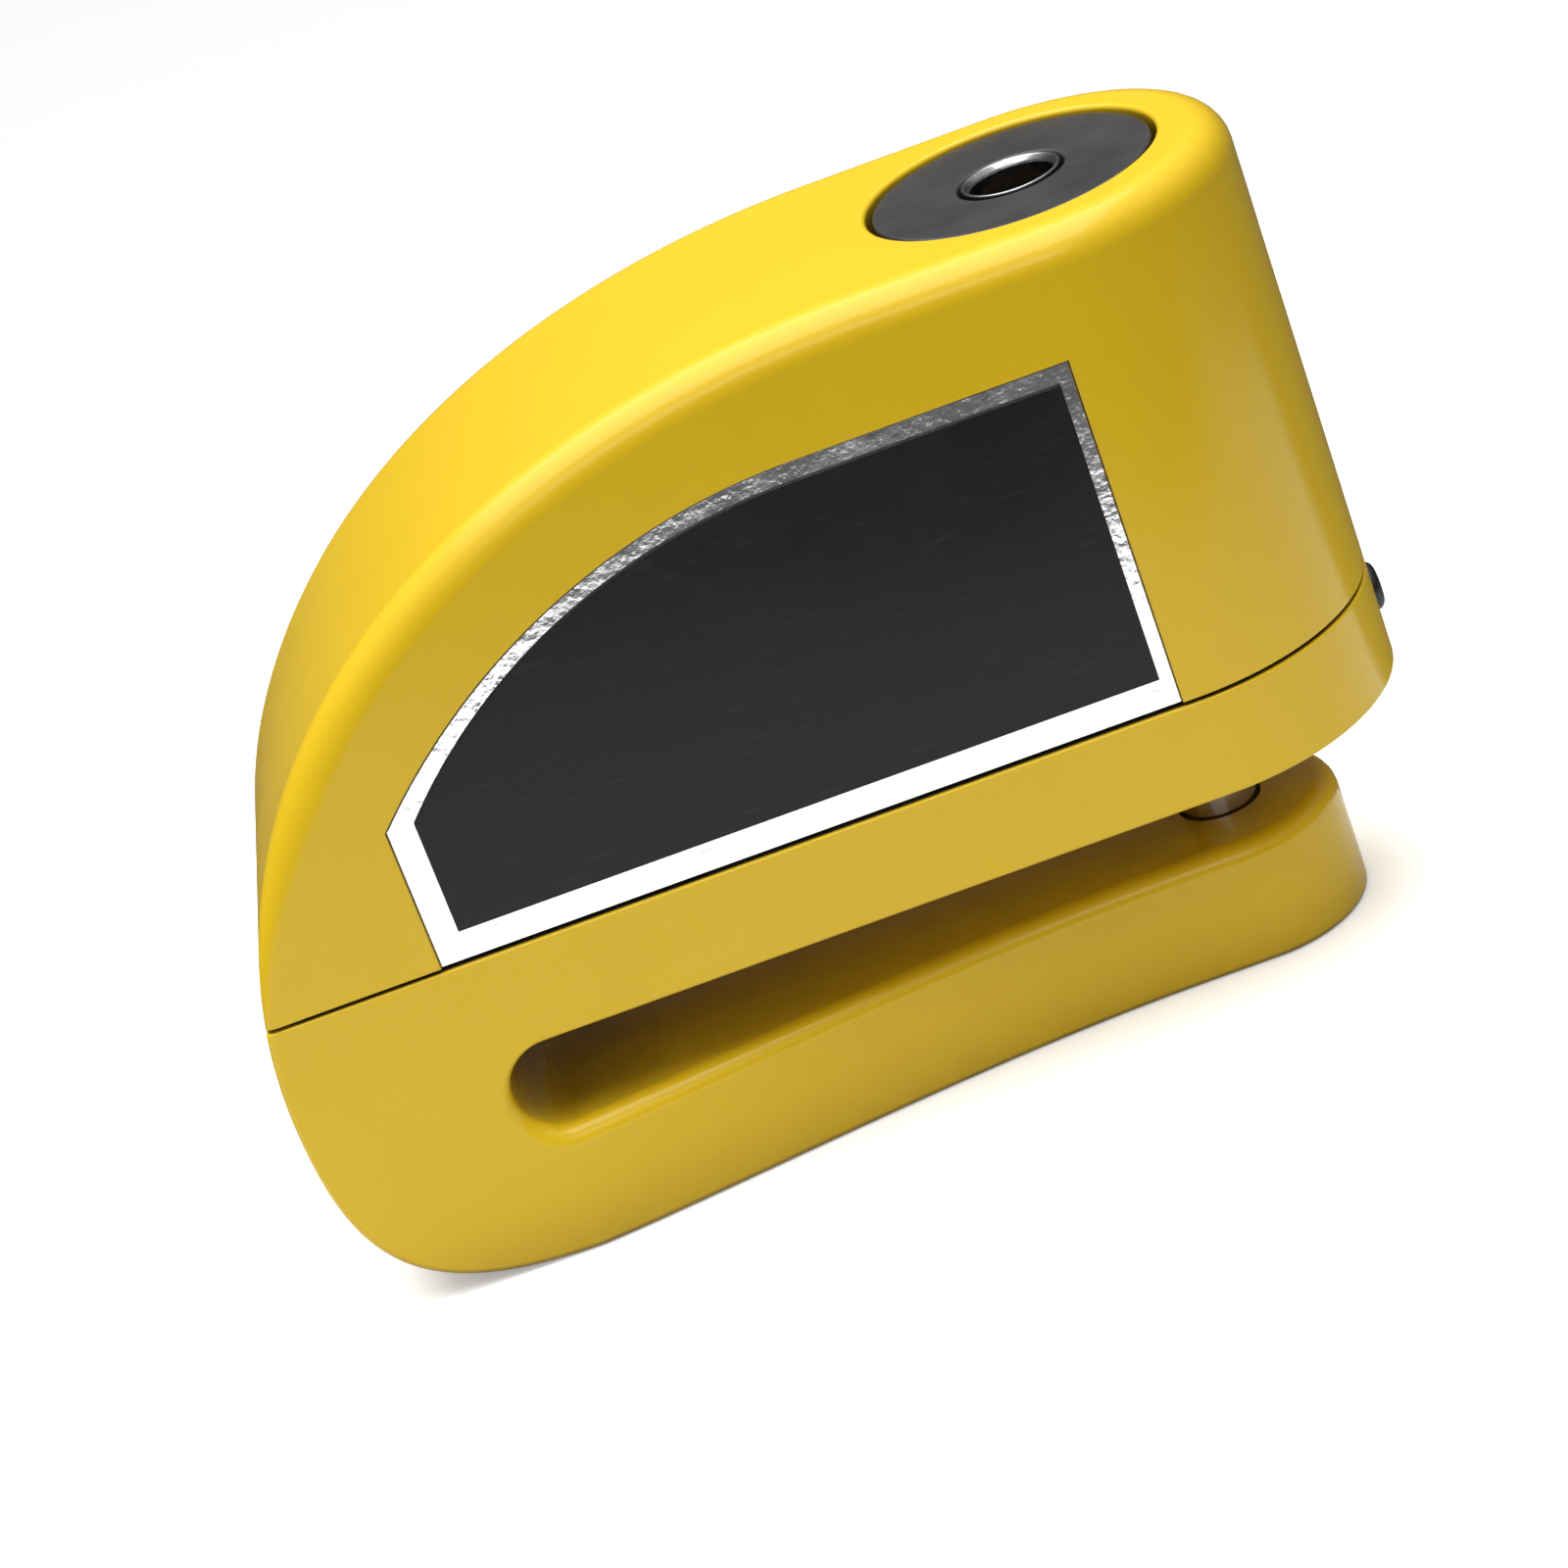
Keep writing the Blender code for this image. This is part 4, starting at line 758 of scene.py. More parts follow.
def settle(obj):
    """Turns an object's modifiers into its mesh."""
    graph = bpy.context.evaluated_depsgraph_get()
    mesh = bpy.data.meshes.new_from_object(obj.evaluated_get(graph))
    obj.modifiers.clear()
    old, obj.data = obj.data, mesh
    bpy.data.meshes.remove(old)


def combine(obj, operation, others):
    """Cuts others from an object, joins them to it or keeps what they share, and removes them."""
    for other in others:
        modifier = obj.modifiers.new("combine", "BOOLEAN")
        modifier.operation = operation
        modifier.object = other
        modifier.solver = "EXACT"
        settle(obj)
        bpy.data.objects.remove(other)


def round_rims(obj, width, segments, sharper_than=50):
    bevel = obj.modifiers.new("rounded", "BEVEL")
    bevel.width = width
    bevel.segments = segments
    bevel.limit_method = "ANGLE"
    bevel.angle_limit = math.radians(sharper_than)
    bevel.use_clamp_overlap = False
    settle(obj)


def round_chosen(obj, choose, segments=3):
    """Rounds the edges for which choose gives a width. It's given an edge and its middle."""
    bm = bmesh.new()
    bm.from_mesh(obj.data)
    weights = bm.edges.layers.float.get("bevel_weight_edge") or bm.edges.layers.float.new("bevel_weight_edge")
    count = 0
    for edge in bm.edges:
        middle = (edge.verts[0].co + edge.verts[1].co) / 2
        width = choose(edge, middle) if len(edge.link_faces) == 2 else 0
        edge[weights] = (width or 0) / WIDEST_ROUND
        count += bool(width)
    bm.to_mesh(obj.data)
    bm.free()
    bevel = obj.modifiers.new("rounded", "BEVEL")
    bevel.width = WIDEST_ROUND
    bevel.segments = segments
    bevel.limit_method = "WEIGHT"
    bevel.use_clamp_overlap = False
    settle(obj)
    attribute = obj.data.attributes.get("bevel_weight_edge")
    if attribute:
        obj.data.attributes.remove(attribute)
    return count


def finish_piece(obj, body, slot, node):
    """Gives a piece its finish, smooth shading, the body it rides on and the node it replaces."""
    mesh = obj.data
    mesh.materials.clear()
    mesh.materials.append(finishes[slot])
    mesh.shade_smooth()
    mesh.set_sharp_from_angle(angle=SHARP_ANGLE)
    flat = obj.modifiers.new("flat_faces_stay_flat", "WEIGHTED_NORMAL")
    flat.keep_sharp = True
    flat.weight = 90
    settle(obj)
    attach(obj, body)
    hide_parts(node)
    print(obj.name, "faces:", len(obj.data.polygons))


# %% [markdown]
# ## The two castings
# Both halves of the body share one outer form: the side view gives nose, brow and roof, the plan
# gives flat flanks and a half-round tail, and the form is what the two have in common. Making it
# once and cutting it at the parting line is how the pattern maker does it too, and it keeps the
# halves flush. The rims are rounded before the cut, so that the parting line stays crisp.

# %% The shared outer form
ROUND, CRISP = 2.8 * MM, 0.6 * MM
WALL = 2.4 * MM
TINY = 0.01 * MM
NOSE_TIP_Z = 17.3 * MM
HEEL_LENGTH, HEEL_FOOT_PULL, HEEL_NOSE_PULL_Z = 18 * MM, 3.5 * MM, 5.3 * MM
BROW_NOSE_PULL_Z, BROW_ROOF_PULL, BROW_END_X = 43.8 * MM, 24.5 * MM, -14 * MM


def body_form(name, depth=0.0, steps=72):
    """The lock's whole outer form, or the same form a depth inside it."""
    heel_start, heel_pull = (NOSE_X + HEEL_LENGTH, 0), (NOSE_X + HEEL_FOOT_PULL, 0)
    heel = bezier(heel_start, heel_pull, (NOSE_X, HEEL_NOSE_PULL_Z), (NOSE_X, NOSE_TIP_Z), steps // 3)
    brow_pull, brow_end = (NOSE_X + BROW_ROOF_PULL, ROOF_Z), (BROW_END_X, ROOF_Z)
    brow = bezier((NOSE_X, NOSE_TIP_Z), (NOSE_X, BROW_NOSE_PULL_Z), brow_pull, brow_end, steps)
    far = HALF + 4 * MM
    side = [(far, 0), *heel, *brow[1:], (far, ROOF_Z)]
    side = inset(side, depth) if depth else side
    form = prism(name, side, -HALF - MM, HALF + MM, upright=True)
    half, front = HALF - depth, NOSE_X - 2 * MM
    plan = [*arc((0, 0), half, -90, 90, steps), (front, half), (front, -half)]
    combine(form, "INTERSECT", [prism("plan", plan, -2 * MM, ROOF_Z + 2 * MM)])
    print(name, "faces:", len(form.data.polygons))
    return form


def faces_away(middle, normal):
    """True if a wall with that normal looks out of the lock, and not into its hollow."""
    core = Vector((min(max(middle.x, NOSE_X + HALF), 0), 0, 0))
    out = middle - core
    return out.x * normal.x + out.y * normal.y > 0


# %% [markdown]
# ### Cover
# The cover is hollow. It has a round hole for the key head, a shallow recess on each flank for
# the label, and inside it a boss for the nose screw and a tongue for the tail screw. The edge
# round the parting line and the rim of the hole are eased, as thick enamel leaves them.

# %% Label outline, which the recess shares
foil_low, foil_high = low_high("near_label_foil")
SHOULDER_DROP = 16.2 * MM
SHOULDER_PULL_X, SHOULDER_PULL_Z = 9.3 * MM, 9.8 * MM
CROWN_PULL_X, CROWN_START_X = -36 * MM, -22 * MM
print("label length and height in mm:", [round(v / MM, 1) for v in (foil_high - foil_low).xz])


def label_outline(front=0.0, foot=0.0, tail=0.0, top=0.0):
    """The label seen from the side, with a margin left off each side for a panel inside it."""
    left, right = foil_low.x + front, foil_high.x - tail
    low, crown = foil_low.z + foot, foil_high.z - top
    shoulder = foil_high.z - SHOULDER_DROP
    pull = (left + SHOULDER_PULL_X - front / 2, shoulder + SHOULDER_PULL_Z - top / 2)
    curve = bezier((left, shoulder), pull, (CROWN_PULL_X, crown), (CROWN_START_X, crown), 40)
    return [(right, low), (right, crown), *reversed(curve), (left, low)]


# %% Make the cover
EASED_OVER = 18 * MM
cover = body_form("cover_enamelled")


def brow_edge(edge, middle):
    """The outer edges: broadly rounded on the brow and the roof, crisper towards the jaw."""
    if edge.calc_face_angle(0) < math.radians(50):
        return 0
    share = min(max((middle.z - FOOT_Z) / EASED_OVER, 0), 1)
    return CRISP + (ROUND - CRISP) * share * share * (3 - 2 * share)


round_chosen(cover, brow_edge, 8)
HEAD_HOLE = head_high.x - AXIS.x + 0.45 * MM
NOSE_SCREW_X = NOSE_X + 8.5 * MM
NOSE_SCREW_HOLE, TAIL_SCREW_HOLE, BOSS = 1.7 * MM, 1.4 * MM, 3.2 * MM
TONGUE_HALF, TONGUE_FRONT_X, TONGUE_BACK_X = 3 * MM, 12.7 * MM, 14.18 * MM
RECESS_DEPTH = 0.5 * MM
hollow = body_form("hollow", WALL, 36)
combine(hollow, "DIFFERENCE", [rod("boss", BOSS, 0, 70 * MM, centre=(NOSE_SCREW_X, 0))])
recess = inset([(x, z if z > FOOT_Z + MM else FOOT_Z - MM) for x, z in label_outline()], -0.1 * MM)
combine(cover, "DIFFERENCE", [
    box("below", (-0.1, -0.05, -0.01), (0.1, 0.05, FOOT_Z)),
    hollow,
    rod("head_hole", HEAD_HOLE, ROOF_Z - 6 * MM, ROOF_Z + 2 * MM, steps=128),
    rod("nose_pilot", NOSE_SCREW_HOLE, 0, FOOT_Z + 8.2 * MM, centre=(NOSE_SCREW_X, 0)),
    prism("near_recess", recess, -HALF - 2 * MM, -HALF + RECESS_DEPTH, upright=True),
    prism("far_recess", recess, HALF - RECESS_DEPTH, HALF + 2 * MM, upright=True),
])
tongue_foot = (TONGUE_FRONT_X, -TONGUE_HALF, cover_low.z)
tongue = box("tongue", tongue_foot, (TONGUE_BACK_X, TONGUE_HALF, FOOT_Z + 4 * MM))
combine(cover, "UNION", [tongue])
TAIL_SCREW_Z = (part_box("tail_cover_screw")[0].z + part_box("tail_cover_screw")[1].z) / 2
tongue_hole = rod("tongue_hole", TAIL_SCREW_HOLE, 12 * MM, 14.8 * MM, "X", (0, TAIL_SCREW_Z))
combine(cover, "DIFFERENCE", [tongue_hole])
FOOT_ROUND, HOLE_ROUND, RECESS_ROUND = 0.2 * MM, 0.4 * MM, 0.1 * MM


def cover_edge(edge, middle):
    """The rounding of a cover edge: its foot, the rim of the head hole and the label recess."""
    normals = [face.normal for face in edge.link_faces]
    heights = [vert.co.z for vert in edge.verts]
    if max(abs(z - FOOT_Z) for z in heights) < TINY:
        down = [n for n in normals if n.z < -0.9]
        walls = [n for n in normals if abs(n.z) < 0.7]
        inside_recess = HALF - 0.7 * MM < abs(middle.y) < HALF - 0.3 * MM and middle.x < 0
        if down and walls and not inside_recess and faces_away(middle, walls[0]):
            return FOOT_ROUND
    if min(heights) > ROOF_Z - TINY and abs(math.hypot(middle.x, middle.y) - HEAD_HOLE) < 0.1 * MM:
        return HOLE_ROUND
    on_flank = min(abs(vert.co.y) for vert in edge.verts) > HALF - TINY
    if on_flank and max(abs(n.y) for n in normals) > 0.99 and min(abs(n.y) for n in normals) < 0.01:
        if foil_low.x - MM < middle.x < foil_high.x + MM and middle.z > FOOT_Z + TINY:
            return RECESS_ROUND
    return 0


print("cover edges rounded:", round_chosen(cover, cover_edge))
finish_piece(cover, "body", "enamel", "cover_shell")

# %% [markdown]
# ### Jaw casting
# The lower casting carries the load. A slot for the brake disc runs in from the tail, and below
# it the jaw narrows to a round end, so that the lock clears a caliper. The slot is a straight
# cut, so its roof keeps a crisp edge, while the jaw's upper edge is generously rounded to lead
# the disc in. The two meet round the slot's closed end, where one rounding fades into the other.
# An ordinary bevel has one width, so each edge's width is chosen by its height.

# %% Make the jaw casting
SLOT_FLOOR_Z, SLOT_ROOF_Z = 10.1 * MM, 17.7 * MM
SLOT_END_X, SLOT_ROUND = -57.2 * MM, 3.7 * MM
JAW_HALF = 9 * MM
DECK_Z = 20.6 * MM
FAR = HALF + 6 * MM
SWEEP_PULL_X, JAW_PULL_X, JAW_START_X = -46 * MM, -24 * MM, -6 * MM
SLOT_TOE_ROUND, SLOT_ROOF_ROUND = 1.6 * MM, 0.35 * MM
base = body_form("jaw_casting_enamelled")
sweep_start, sweep_pull = (-56 * MM, HALF + 0.1 * MM), (SWEEP_PULL_X, HALF - 0.8 * MM)
sweep = bezier(sweep_start, sweep_pull, (JAW_PULL_X, JAW_HALF), (JAW_START_X, JAW_HALF), 40)
jaw_end = arc((0, 0), JAW_HALF, 90, -90, 48)
beside_jaw = [*sweep, *jaw_end, *[(x, -y) for x, y in reversed(sweep)]]
beside_jaw += [(sweep_start[0], -FAR), (FAR, -FAR), (FAR, FAR), (sweep_start[0], FAR)]
combine(base, "DIFFERENCE", [prism("trim", beside_jaw, -2 * MM, (SLOT_FLOOR_Z + SLOT_ROOF_Z) / 2)])
round_rims(base, CRISP, 4)
slot_end = arc((SLOT_END_X + SLOT_ROUND, SLOT_ROOF_Z - SLOT_ROUND), SLOT_ROUND, 90, 180, 14)
slot_toe = arc((SLOT_END_X + SLOT_ROUND, SLOT_FLOOR_Z + SLOT_ROUND), SLOT_ROUND, 180, 270, 14)
slot = [(FAR, SLOT_ROOF_Z), *slot_end, *slot_toe, (FAR, SLOT_FLOOR_Z)]
combine(base, "DIFFERENCE", [
    box("above", (-0.1, -0.05, RIM_Z), (0.1, 0.05, 0.08)),
    prism("slot", slot, -FAR, FAR, upright=True),
    box("pocket", (-55.8 * MM, -13.3 * MM, DECK_Z), (-8 * MM, 13.3 * MM, 0.03)),
])


def base_edge(edge, middle):
    """The rounding of a jaw casting edge: the rim at the parting line and the disc slot."""
    normals = [face.normal for face in edge.link_faces]
    if max(abs(vert.co.z - RIM_Z) for vert in edge.verts) < TINY:
        walls = [n for n in normals if abs(n.z) < 0.7]
        lids = [n for n in normals if n.z > 0.9]
        return FOOT_ROUND if walls and lids and faces_away(middle, walls[0]) else 0
    if not SLOT_FLOOR_Z - TINY < middle.z < SLOT_ROOF_Z + TINY:
        return 0
    of_slot = []
    for face in edge.link_faces:
        centre, normal = face.calc_center_median(), face.normal
        from_slot = min(abs(centre.z - SLOT_FLOOR_Z), abs(centre.z - SLOT_ROOF_Z))
        level = abs(normal.z) > 0.99 and from_slot < TINY
        at_end = SLOT_END_X - MM < centre.x < SLOT_END_X + SLOT_ROUND + MM and abs(normal.y) < 0.02
        of_slot.append(level or at_end)
    if of_slot[0] == of_slot[1]:
        return 0
    share = (middle.z - SLOT_FLOOR_Z) / (SLOT_ROOF_Z - SLOT_FLOOR_Z)
    share = share * share * (3 - 2 * share)
    return (1 - share) * SLOT_TOE_ROUND + share * SLOT_ROOF_ROUND


print("jaw casting edges rounded:", round_chosen(base, base_edge, 5))

# %% [markdown]
# ### Inside of the jaw casting
# The tower that guides the barrel and the posts under the circuit board are cast with the jaw,
# and the bores are drilled later. They are made in the same order here, so that each bore goes
# cleanly through what it meets.

# %% Bores, posts and sound holes of the jaw casting
TOWER_TOP_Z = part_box("base_casting")[1].z
TOWER, POST, SOUND_RING = 12.4 * MM, 2.4 * MM, 5.2 * MM
LATCH_HALF, SWITCH_HALF, POST_HOLE, STOP_HOLE = 3.3 * MM, 1.4 * MM, 1.3 * MM, 1.8 * MM
BORE = low_high("barrel_housing")[1].x + GAP
PIN_HOLE, SOUND_HOLE = 3.3 * MM, 1 * MM
BOARD_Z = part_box("circuit_board")[0].z
posts = []
for corner in ("front_left", "front_right", "rear_left", "rear_right"):
    low, high = low_high("board_screw_" + corner)
    posts.append(((low.x + high.x) / 2, (low.y + high.y) / 2))
combine(base, "UNION", [rod("tower", TOWER, DECK_Z - 1.4 * MM, TOWER_TOP_Z, steps=96)])
combine(base, "UNION", [rod("post", POST, DECK_Z - 1.4 * MM, BOARD_Z - GAP, centre=c) for c in posts])
SWITCH_Z = (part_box("switch_plunger")[0].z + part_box("switch_plunger")[1].z) / 2
STOP_Z = (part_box("barrel_stop_screw")[0].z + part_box("barrel_stop_screw")[1].z) / 2
LATCH_FLOOR_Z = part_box("latch_bolt")[0].z - GAP
SIREN_X = (low_high("siren")[0].x + low_high("siren")[1].x) / 2
bored = [
    rod("barrel_bore", BORE, DECK_Z, TOWER_TOP_Z + 2 * MM, steps=96),
    rod("pin_hole", PIN_HOLE, SLOT_ROOF_Z - 2 * MM, DECK_Z + 2 * MM),
    rod("pin_socket", PIN_HOLE, 7.5 * MM, SLOT_FLOOR_Z + 2 * MM),
    box(
        "latch_channel",
        (0, -LATCH_HALF, LATCH_FLOOR_Z - GAP),
        (12.2 * MM, LATCH_HALF, TOWER_TOP_Z + 2 * MM),
    ),
    box(
        "window",
        (-14.4 * MM, -SWITCH_HALF, SWITCH_Z - SWITCH_HALF),
        (-8 * MM, SWITCH_HALF, SWITCH_Z + SWITCH_HALF),
    ),
    rod("stop_hole", STOP_HOLE, -14.4 * MM, -9 * MM, "X", (0, STOP_Z)),
    rod("nose_hole", NOSE_SCREW_HOLE, 8 * MM, FOOT_Z + 2 * MM, centre=(NOSE_SCREW_X, 0)),
    rod("nose_counterbore", 3.3 * MM, -2 * MM, 13.8 * MM, centre=(NOSE_SCREW_X, 0)),
    rod("tail_hole", TAIL_SCREW_HOLE, 13 * MM, 18 * MM, "X", (0, TAIL_SCREW_Z)),
    rod("tail_counterbore", 2.2 * MM, HALF - 0.4 * MM, HALF + 2 * MM, "X", (0, TAIL_SCREW_Z)),
    box("tongue_pocket", (12.4 * MM, -3.3 * MM, cover_low.z - GAP), (14.48 * MM, 3.3 * MM, 0.028)),
]
bored += [
    rod("post_hole", POST_HOLE, BOARD_Z - 5.6 * MM, BOARD_Z + 2 * MM, centre=c, steps=24) for c in posts
]
holes = [(SIREN_X, 0), *circle(SOUND_RING, 6, (SIREN_X, 0))]
bored += [
    rod("sound_hole", SOUND_HOLE, SLOT_ROOF_Z - 2 * MM, DECK_Z + 2 * MM, centre=c, steps=24) for c in holes
]
combine(base, "DIFFERENCE", bored)
print("posts:", len(posts), "sound holes:", len(holes))

# %% [markdown]
# ### Groove for the seal
# The rubber seal sits in a shallow groove in the jaw casting's rim. The groove is what lies
# between two outlines that follow the rim, so one prism cut from another makes the cutter.

# %% Cut the groove and finish the jaw casting
GROOVE_EDGES, GROOVE_DEPTH, GROOVE_NOSE = (0.4 * MM, 1.4 * MM), 0.8 * MM, 0.8 * MM
groove = []
for depth in GROOVE_EDGES:
    half, front, corner = HALF - depth, NOSE_X + GROOVE_NOSE + depth, ROUND - depth
    far_corner = arc((front + corner, half - corner), corner, 90, 180, 8)
    near_corner = arc((front + corner, corner - half), corner, 180, 270, 8)
    loop = [*arc((0, 0), half, -90, 90, 72), *far_corner, *near_corner]
    groove.append(prism("groove", loop, RIM_Z - GROOVE_DEPTH, RIM_Z + 2 * MM))
combine(groove[0], "DIFFERENCE", [prism("core", loop, RIM_Z - MM, RIM_Z + 3 * MM)])
bpy.data.objects.remove(groove[1])
combine(base, "DIFFERENCE", [groove[0]])
finish_piece(base, "body", "enamel", "base_casting")

# %% [markdown]
# ## Labels
# Each flank carries a stamped foil with a dark panel on it. Both are thin sheets with their own
# outline, so they are flat prisms, with edges just soft enough to glint.

# %% Make the labels
PANEL_MARGINS = (2.1 * MM, 2.3 * MM, MM, 1.4 * MM)
for side in ("near", "far"):
    for part, slot_name, margins in (
        ("foil", "label_foil", ()),
        ("panel", "label_panel", PANEL_MARGINS),
    ):
        node = f"{side}_label_{part}"
        low, high = low_high(node)
        sheet = prism(f"{side}_label_{part}_sheet", label_outline(*margins), low.y, high.y, upright=True)
        round_rims(sheet, 0.06 * MM, 2)
        finish_piece(sheet, "body", slot_name, node)

# %% [markdown]
# ## Barrel
# The barrel is pressed down with the thumb and springs up when the key is turned. Its head is a
# thin turned cap, with the chromed sleeve of the keyway in the middle. Turned pieces are made
# from half a section, as on a lathe, and each corner of the section is eased.

# %% Head, sleeve and rubber ring
HEAD_TOP_Z, HEAD_FOOT_Z = head_high.z, head_low.z
head_radius = head_high.x - AXIS.x
sleeve_low, sleeve_high = low_high("keyway_collar")
SLEEVE = sleeve_high.x
KEYWAY = 3.1 * MM
head = turned(
    "key_head",
    [
        (SLEEVE + GAP, HEAD_TOP_Z),
        (head_radius, HEAD_TOP_Z),
        (head_radius, HEAD_FOOT_Z),
        (SLEEVE + GAP, HEAD_FOOT_Z),
    ],
    steps=128,
    soft=0.3 * MM,
)
finish_piece(head, "barrel", "satin_black", "barrel_head")
sleeve = turned(
    "keyway_sleeve",
    [
        (KEYWAY, sleeve_high.z - 0.45 * MM),
        (KEYWAY + 0.4 * MM, sleeve_high.z),
        (SLEEVE, sleeve_high.z),
        (SLEEVE, sleeve_low.z),
        (KEYWAY, sleeve_low.z),
    ],
    steps=96,
    soft=0.14 * MM,
)
finish_piece(sleeve, "plug", "chrome", "keyway_collar")
ring_low, ring_high = low_high("head_o_ring")
ring_radius, ring_z = (ring_high.z - ring_low.z) / 2, (ring_low.z + ring_high.z) / 2
ring = turned("head_seal_ring", circle(ring_radius, 20, (ring_high.x - ring_radius, ring_z)))
finish_piece(ring, "barrel", "rubber", "head_o_ring")

# %% [markdown]
# ### Housing and locking pin
# Under the head the barrel is a turned zinc housing, which shows when the key lets the barrel
# rise. It has a groove for the rubber ring, a long flat groove that the stop screw rides in, a
# window for the latch and a skirt that tapers to push the alarm's switch. The pin is hardened
# steel, ground smooth, with a chamfer that finds the hole in the jaw.

# %% Turn and mill the housing
housing_low, housing_high = low_high("barrel_housing")
HOUSING, HOUSING_TOP, HOUSING_FOOT = housing_high.x, housing_high.z, housing_low.z
PLUG_BORE = low_high("key_plug")[1].x + GAP
groove_half = ring_radius + GAP / 2
groove_bottom = ring_high.x - 2 * ring_radius - GAP / 2
pin_low, pin_high = low_high("locking_pin")
PIN = pin_high.x
housing = turned(
    "housing_turned",
    [
        (PLUG_BORE, HOUSING_TOP),
        (HOUSING, HOUSING_TOP),
        (HOUSING, ring_z + groove_half),
        (groove_bottom, ring_z + groove_half),
        (groove_bottom, ring_z - groove_half),
        (HOUSING, ring_z - groove_half),
        (HOUSING, LATCH_FLOOR_Z),
        (HOUSING - 1.4 * MM, HOUSING_FOOT),
        (PIN + GAP, HOUSING_FOOT),
        (PIN + GAP, pin_high.z + GAP),
        (0, pin_high.z + GAP),
        (0, LATCH_FLOOR_Z),
        (PLUG_BORE, LATCH_FLOOR_Z),
    ],
    steps=128,
    soft=0.25 * MM,
)
dowel_low, dowel_high = low_high("pin_dowel")
DOWEL_Z = (dowel_low.z + dowel_high.z) / 2
latch_low, latch_high = low_high("latch_bolt")
sidebar_low, sidebar_high = low_high("sidebar")
TRAVEL, DOWEL_HOLE = 10.2 * MM, 1.3 * MM
combine(housing, "DIFFERENCE", [
    box(
        "window",
        (4 * MM, -LATCH_HALF, latch_low.z - 0.25 * MM),
        (12 * MM, LATCH_HALF, latch_high.z + 0.35 * MM),
    ),
    box(
        "stop_groove",
        (-12 * MM, -STOP_HOLE, STOP_Z - STOP_HOLE - TRAVEL),
        (-8 * MM, STOP_HOLE, STOP_Z + STOP_HOLE),
    ),
    rod("dowel_hole", DOWEL_HOLE, -12 * MM, 12 * MM, "Y", (0, DOWEL_Z), 24),
    box(
        "sidebar_groove",
        (-1.1 * MM, sidebar_low.y - 0.3 * MM, sidebar_low.z - 0.9 * MM),
        (1.1 * MM, PLUG_BORE + 0.3 * MM, sidebar_high.z + 0.6 * MM),
    ),
])
finish_piece(housing, "barrel", "zinc", "barrel_housing")

# %% Turn the locking pin
pin = turned(
    "locking_pin_ground",
    [
        (0, pin_high.z),
        (PIN, pin_high.z),
        (PIN, pin_low.z + 0.6 * MM),
        (PIN - 0.6 * MM, pin_low.z),
        (0, pin_low.z),
    ],
    steps=72,
    soft=0.2 * MM,
)
combine(pin, "DIFFERENCE", [rod("cross_hole", DOWEL_HOLE, -5 * MM, 5 * MM, "Y", (0, DOWEL_Z), 24)])
finish_piece(pin, "barrel", "bright_steel", "locking_pin")
dowel = rod("dowel_turned", dowel_high.z - DOWEL_Z, dowel_low.y, dowel_high.y, "Y", (0, DOWEL_Z), 32)
round_rims(dowel, 0.2 * MM, 2)
finish_piece(dowel, "barrel", "steel", "pin_dowel")

# %% [markdown]
# ## Screws
# Six screws are button heads with a recess for a star driver. The recess is a six-lobed star,
# pressed into the head before the thread is rolled. It is a prism cut from a turned head, and
# the shanks are hidden, so they stay plain. The barrel's stop screw has no head: it is a rod with
# eased ends.

# %% A screw with a star recess


def star(radius, lobes=6):
    """A rounded star outline: a circle whose radius swells once for each lobe."""
    points = []
    for step in range(96):
        angle = 2 * math.pi * step / 96
        r = radius * (0.86 + 0.14 * math.cos(lobes * angle))
        points.append((r * math.cos(angle), r * math.sin(angle)))
    return points


def screw(name, node, head_radius, head_height, shank, tip_first=True, along="Z"):
    """A button-head screw in the place of a packed one. The head faces up, down or along +x."""
    low, high = low_high(node)
    if along == "Z":
        centre = ((low.x + high.x) / 2, (low.y + high.y) / 2)
        start, end = (high.z, low.z) if tip_first else (low.z, high.z)
    else:
        centre = (0, (low.z + high.z) / 2)
        start, end = high.x, low.x
    way = 1 if end > start else -1
    under = start + way * head_height
    profile = [(0, start), (head_radius * 0.55, start)]
    for step in range(1, 6):
        angle = math.pi / 2 * step / 5
        r = head_radius * (0.55 + 0.45 * math.sin(angle))
        profile.append((r, start + way * 0.7 * head_height * (1 - math.cos(angle))))
    profile += [(head_radius, under), (shank, under)]
    profile += [(shank, end - way * shank / 2), (shank / 2, end), (0, end)]
    made = turned(name, profile, 48, along, centre)
    depth = sorted((start - way * 0.1 * MM, start + way * 0.55 * head_height))
    recess = prism("recess", star(head_radius * 0.48), *depth)
    if along == "X":
        to_place = Matrix(((0, 0, 1, 0), (0, 1, 0, centre[0]), (-1, 0, 0, centre[1]), (0, 0, 0, 1)))
    else:
        to_place = Matrix.Translation((*centre, 0))
    recess.data.transform(to_place)
    combine(made, "DIFFERENCE", [recess])
    return made


# %% Make the screws
for corner in ("front_left", "front_right", "rear_left", "rear_right"):
    node = "board_screw_" + corner
    finish_piece(screw(node + "_star", node, 1.9 * MM, 1.4 * MM, MM), "body", "steel", node)
nose_screw = screw("nose_screw_star", "nose_cover_screw", 2.8 * MM, 2 * MM, 1.4 * MM, tip_first=False)
finish_piece(nose_screw, "body", "steel", "nose_cover_screw")
tail_screw = screw("tail_screw_star", "tail_cover_screw", 1.9 * MM, 0.9 * MM, 1.1 * MM, along="X")
finish_piece(tail_screw, "body", "dark_steel", "tail_cover_screw")
stop_low, stop_high = low_high("barrel_stop_screw")
stop_screw = rod("stop_screw_turned", stop_high.y, stop_low.x, stop_high.x, "X", (0, STOP_Z), 40)
round_rims(stop_screw, 0.15 * MM, 2)
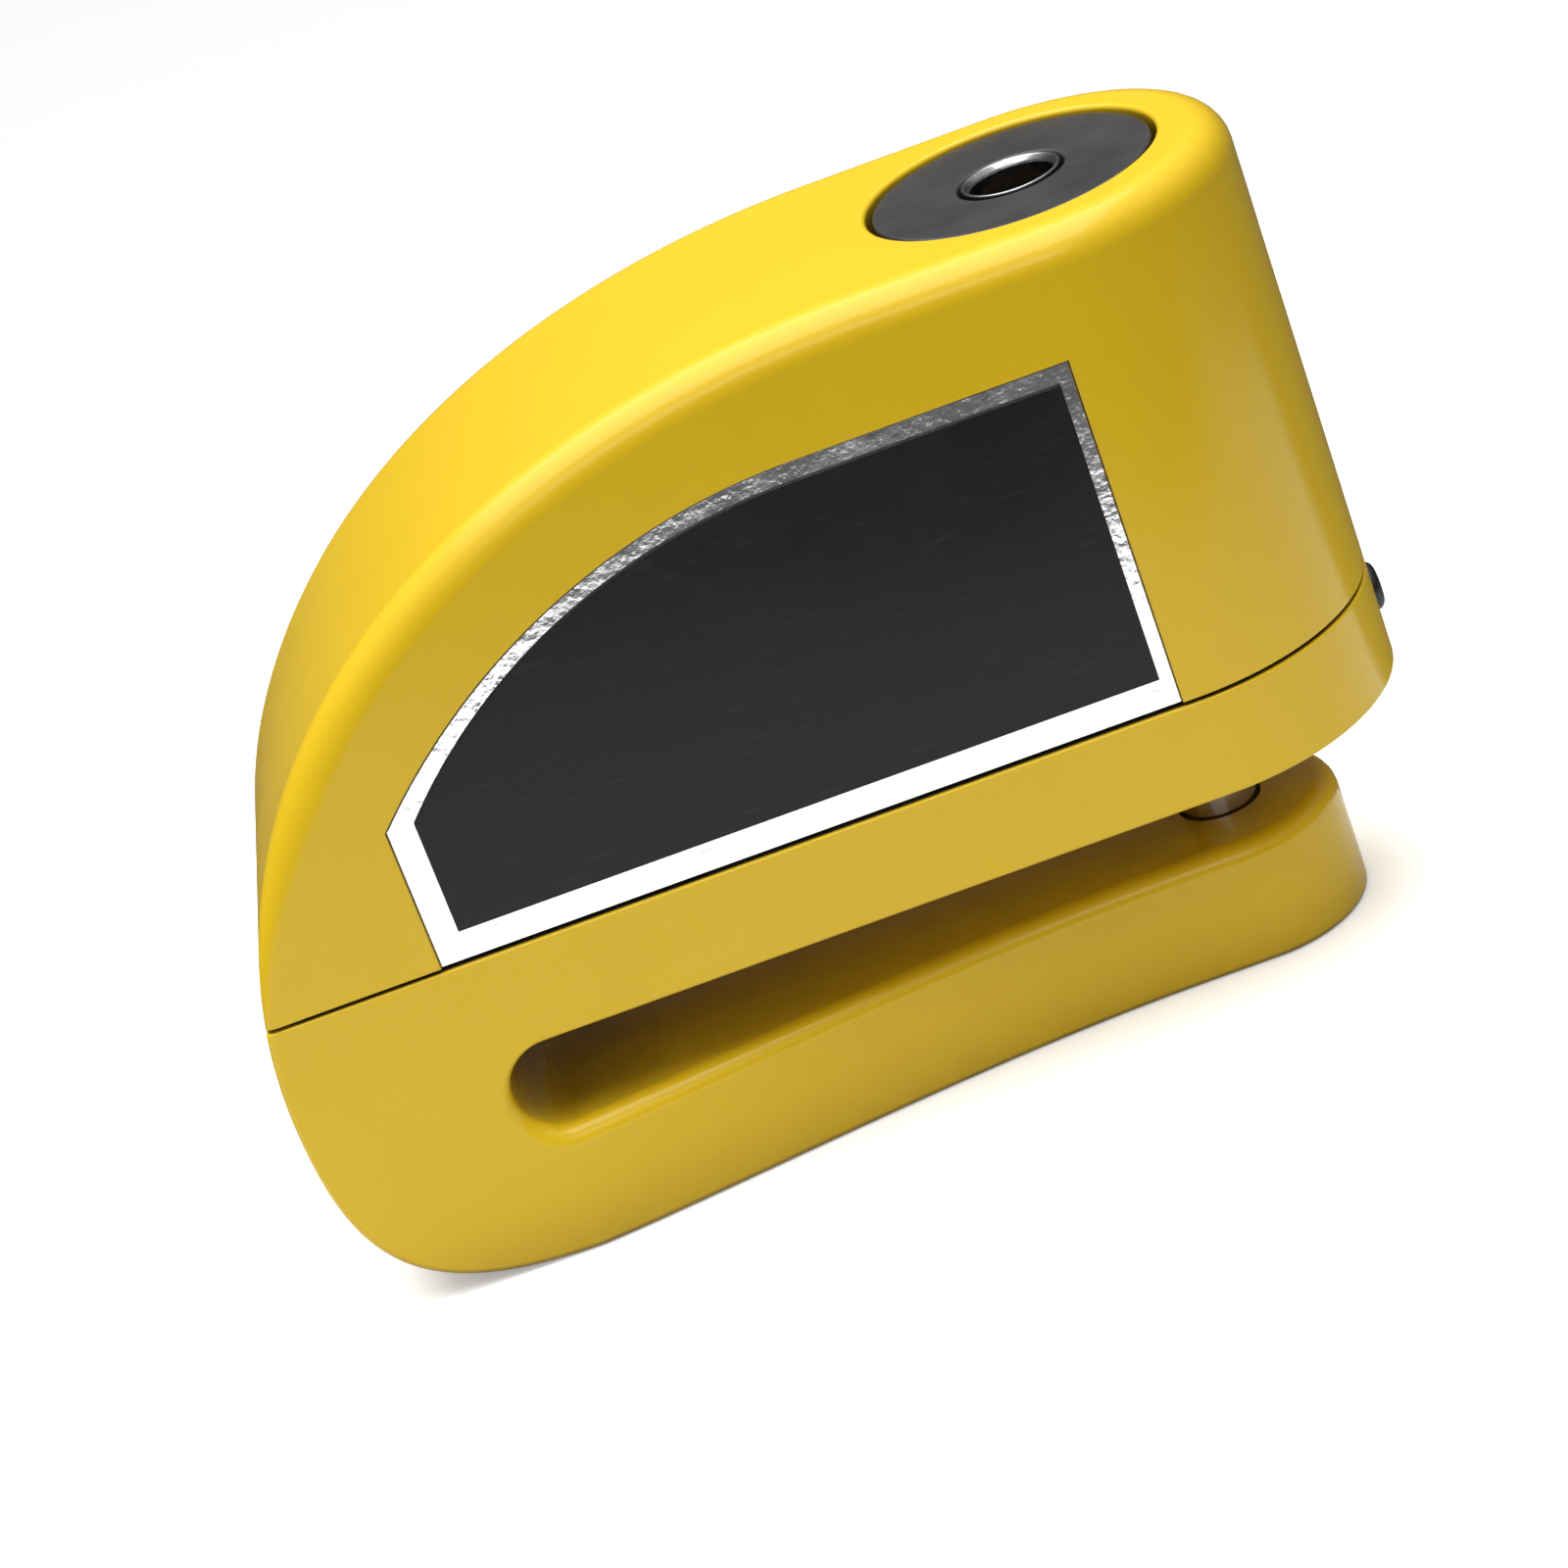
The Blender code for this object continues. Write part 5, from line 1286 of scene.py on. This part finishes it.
finish_piece(stop_screw, "body", "dark_steel", "barrel_stop_screw")

# %% [markdown]
# ## Siren and cells
# Through the holes in the slot's roof the siren's case can be glimpsed. It's a moulded drum with
# a sound port. The button cells are pressed cans: a wide positive cup, a crimped groove and a
# smaller raised lid, all in one nickel can.

# %% Mould the siren
siren_low, siren_high = low_high("siren")
drum = (siren_high.x - siren_low.x) / 2
siren = turned(
    "siren_drum",
    [
        (0, siren_high.z),
        (0.55 * drum, siren_high.z),
        (0.62 * drum, siren_high.z - 0.3 * MM),
        (0.9 * drum, siren_high.z - 0.3 * MM),
        (drum, siren_high.z - 0.9 * MM),
        (drum, siren_low.z + 1.2 * MM),
        (drum - 0.25 * MM, siren_low.z + MM),
        (drum - 0.25 * MM, siren_low.z),
        (1.5 * MM, siren_low.z),
        (1.5 * MM, siren_low.z + 1.2 * MM),
        (0, siren_low.z + 1.2 * MM),
    ],
    steps=96,
    centre=(SIREN_X, 0),
    soft=0.2 * MM,
)
finish_piece(siren, "body", "siren_case", "siren")

# %% Press the button cells
for number in range(1, 7):
    node = f"button_cell_{number}"
    low, high = low_high(node)
    radius, middle_z = (high.z - low.z) / 2, (high.z + low.z) / 2
    lid = 0.82 * radius
    profile = [
        (0, low.x),
        (radius - 0.25 * MM, low.x),
        (radius, low.x + 0.25 * MM),
        (radius, high.x - 0.9 * MM),
        (lid + 0.25 * MM, high.x - 0.45 * MM),
        (lid + 0.05 * MM, high.x - 0.75 * MM),
        (lid, high.x - 0.1 * MM),
        (lid - 0.2 * MM, high.x),
        (0, high.x),
    ]
    cell = turned(f"cell_{number}_can", profile, 64, "X", (0, middle_z), soft=0.08 * MM)
    finish_piece(cell, "body", "nickel", node)

# %% [markdown]
# ## Finishes for the pieces kept as they are
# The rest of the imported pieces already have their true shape, and most are hidden inside. Each
# takes the finish that the record lists for it, such as brass for the plug and its discs.

# %% Dress the kept pieces
kept = 0
for entry in frame["record"]["subparts"]:
    node = frame["nodes"][entry["node"]]
    if not node.hide_render:
        node.data.materials.clear()
        node.data.materials.append(finishes[entry["material_slot"]])
        kept += 1
print("pieces kept with a new finish:", kept)
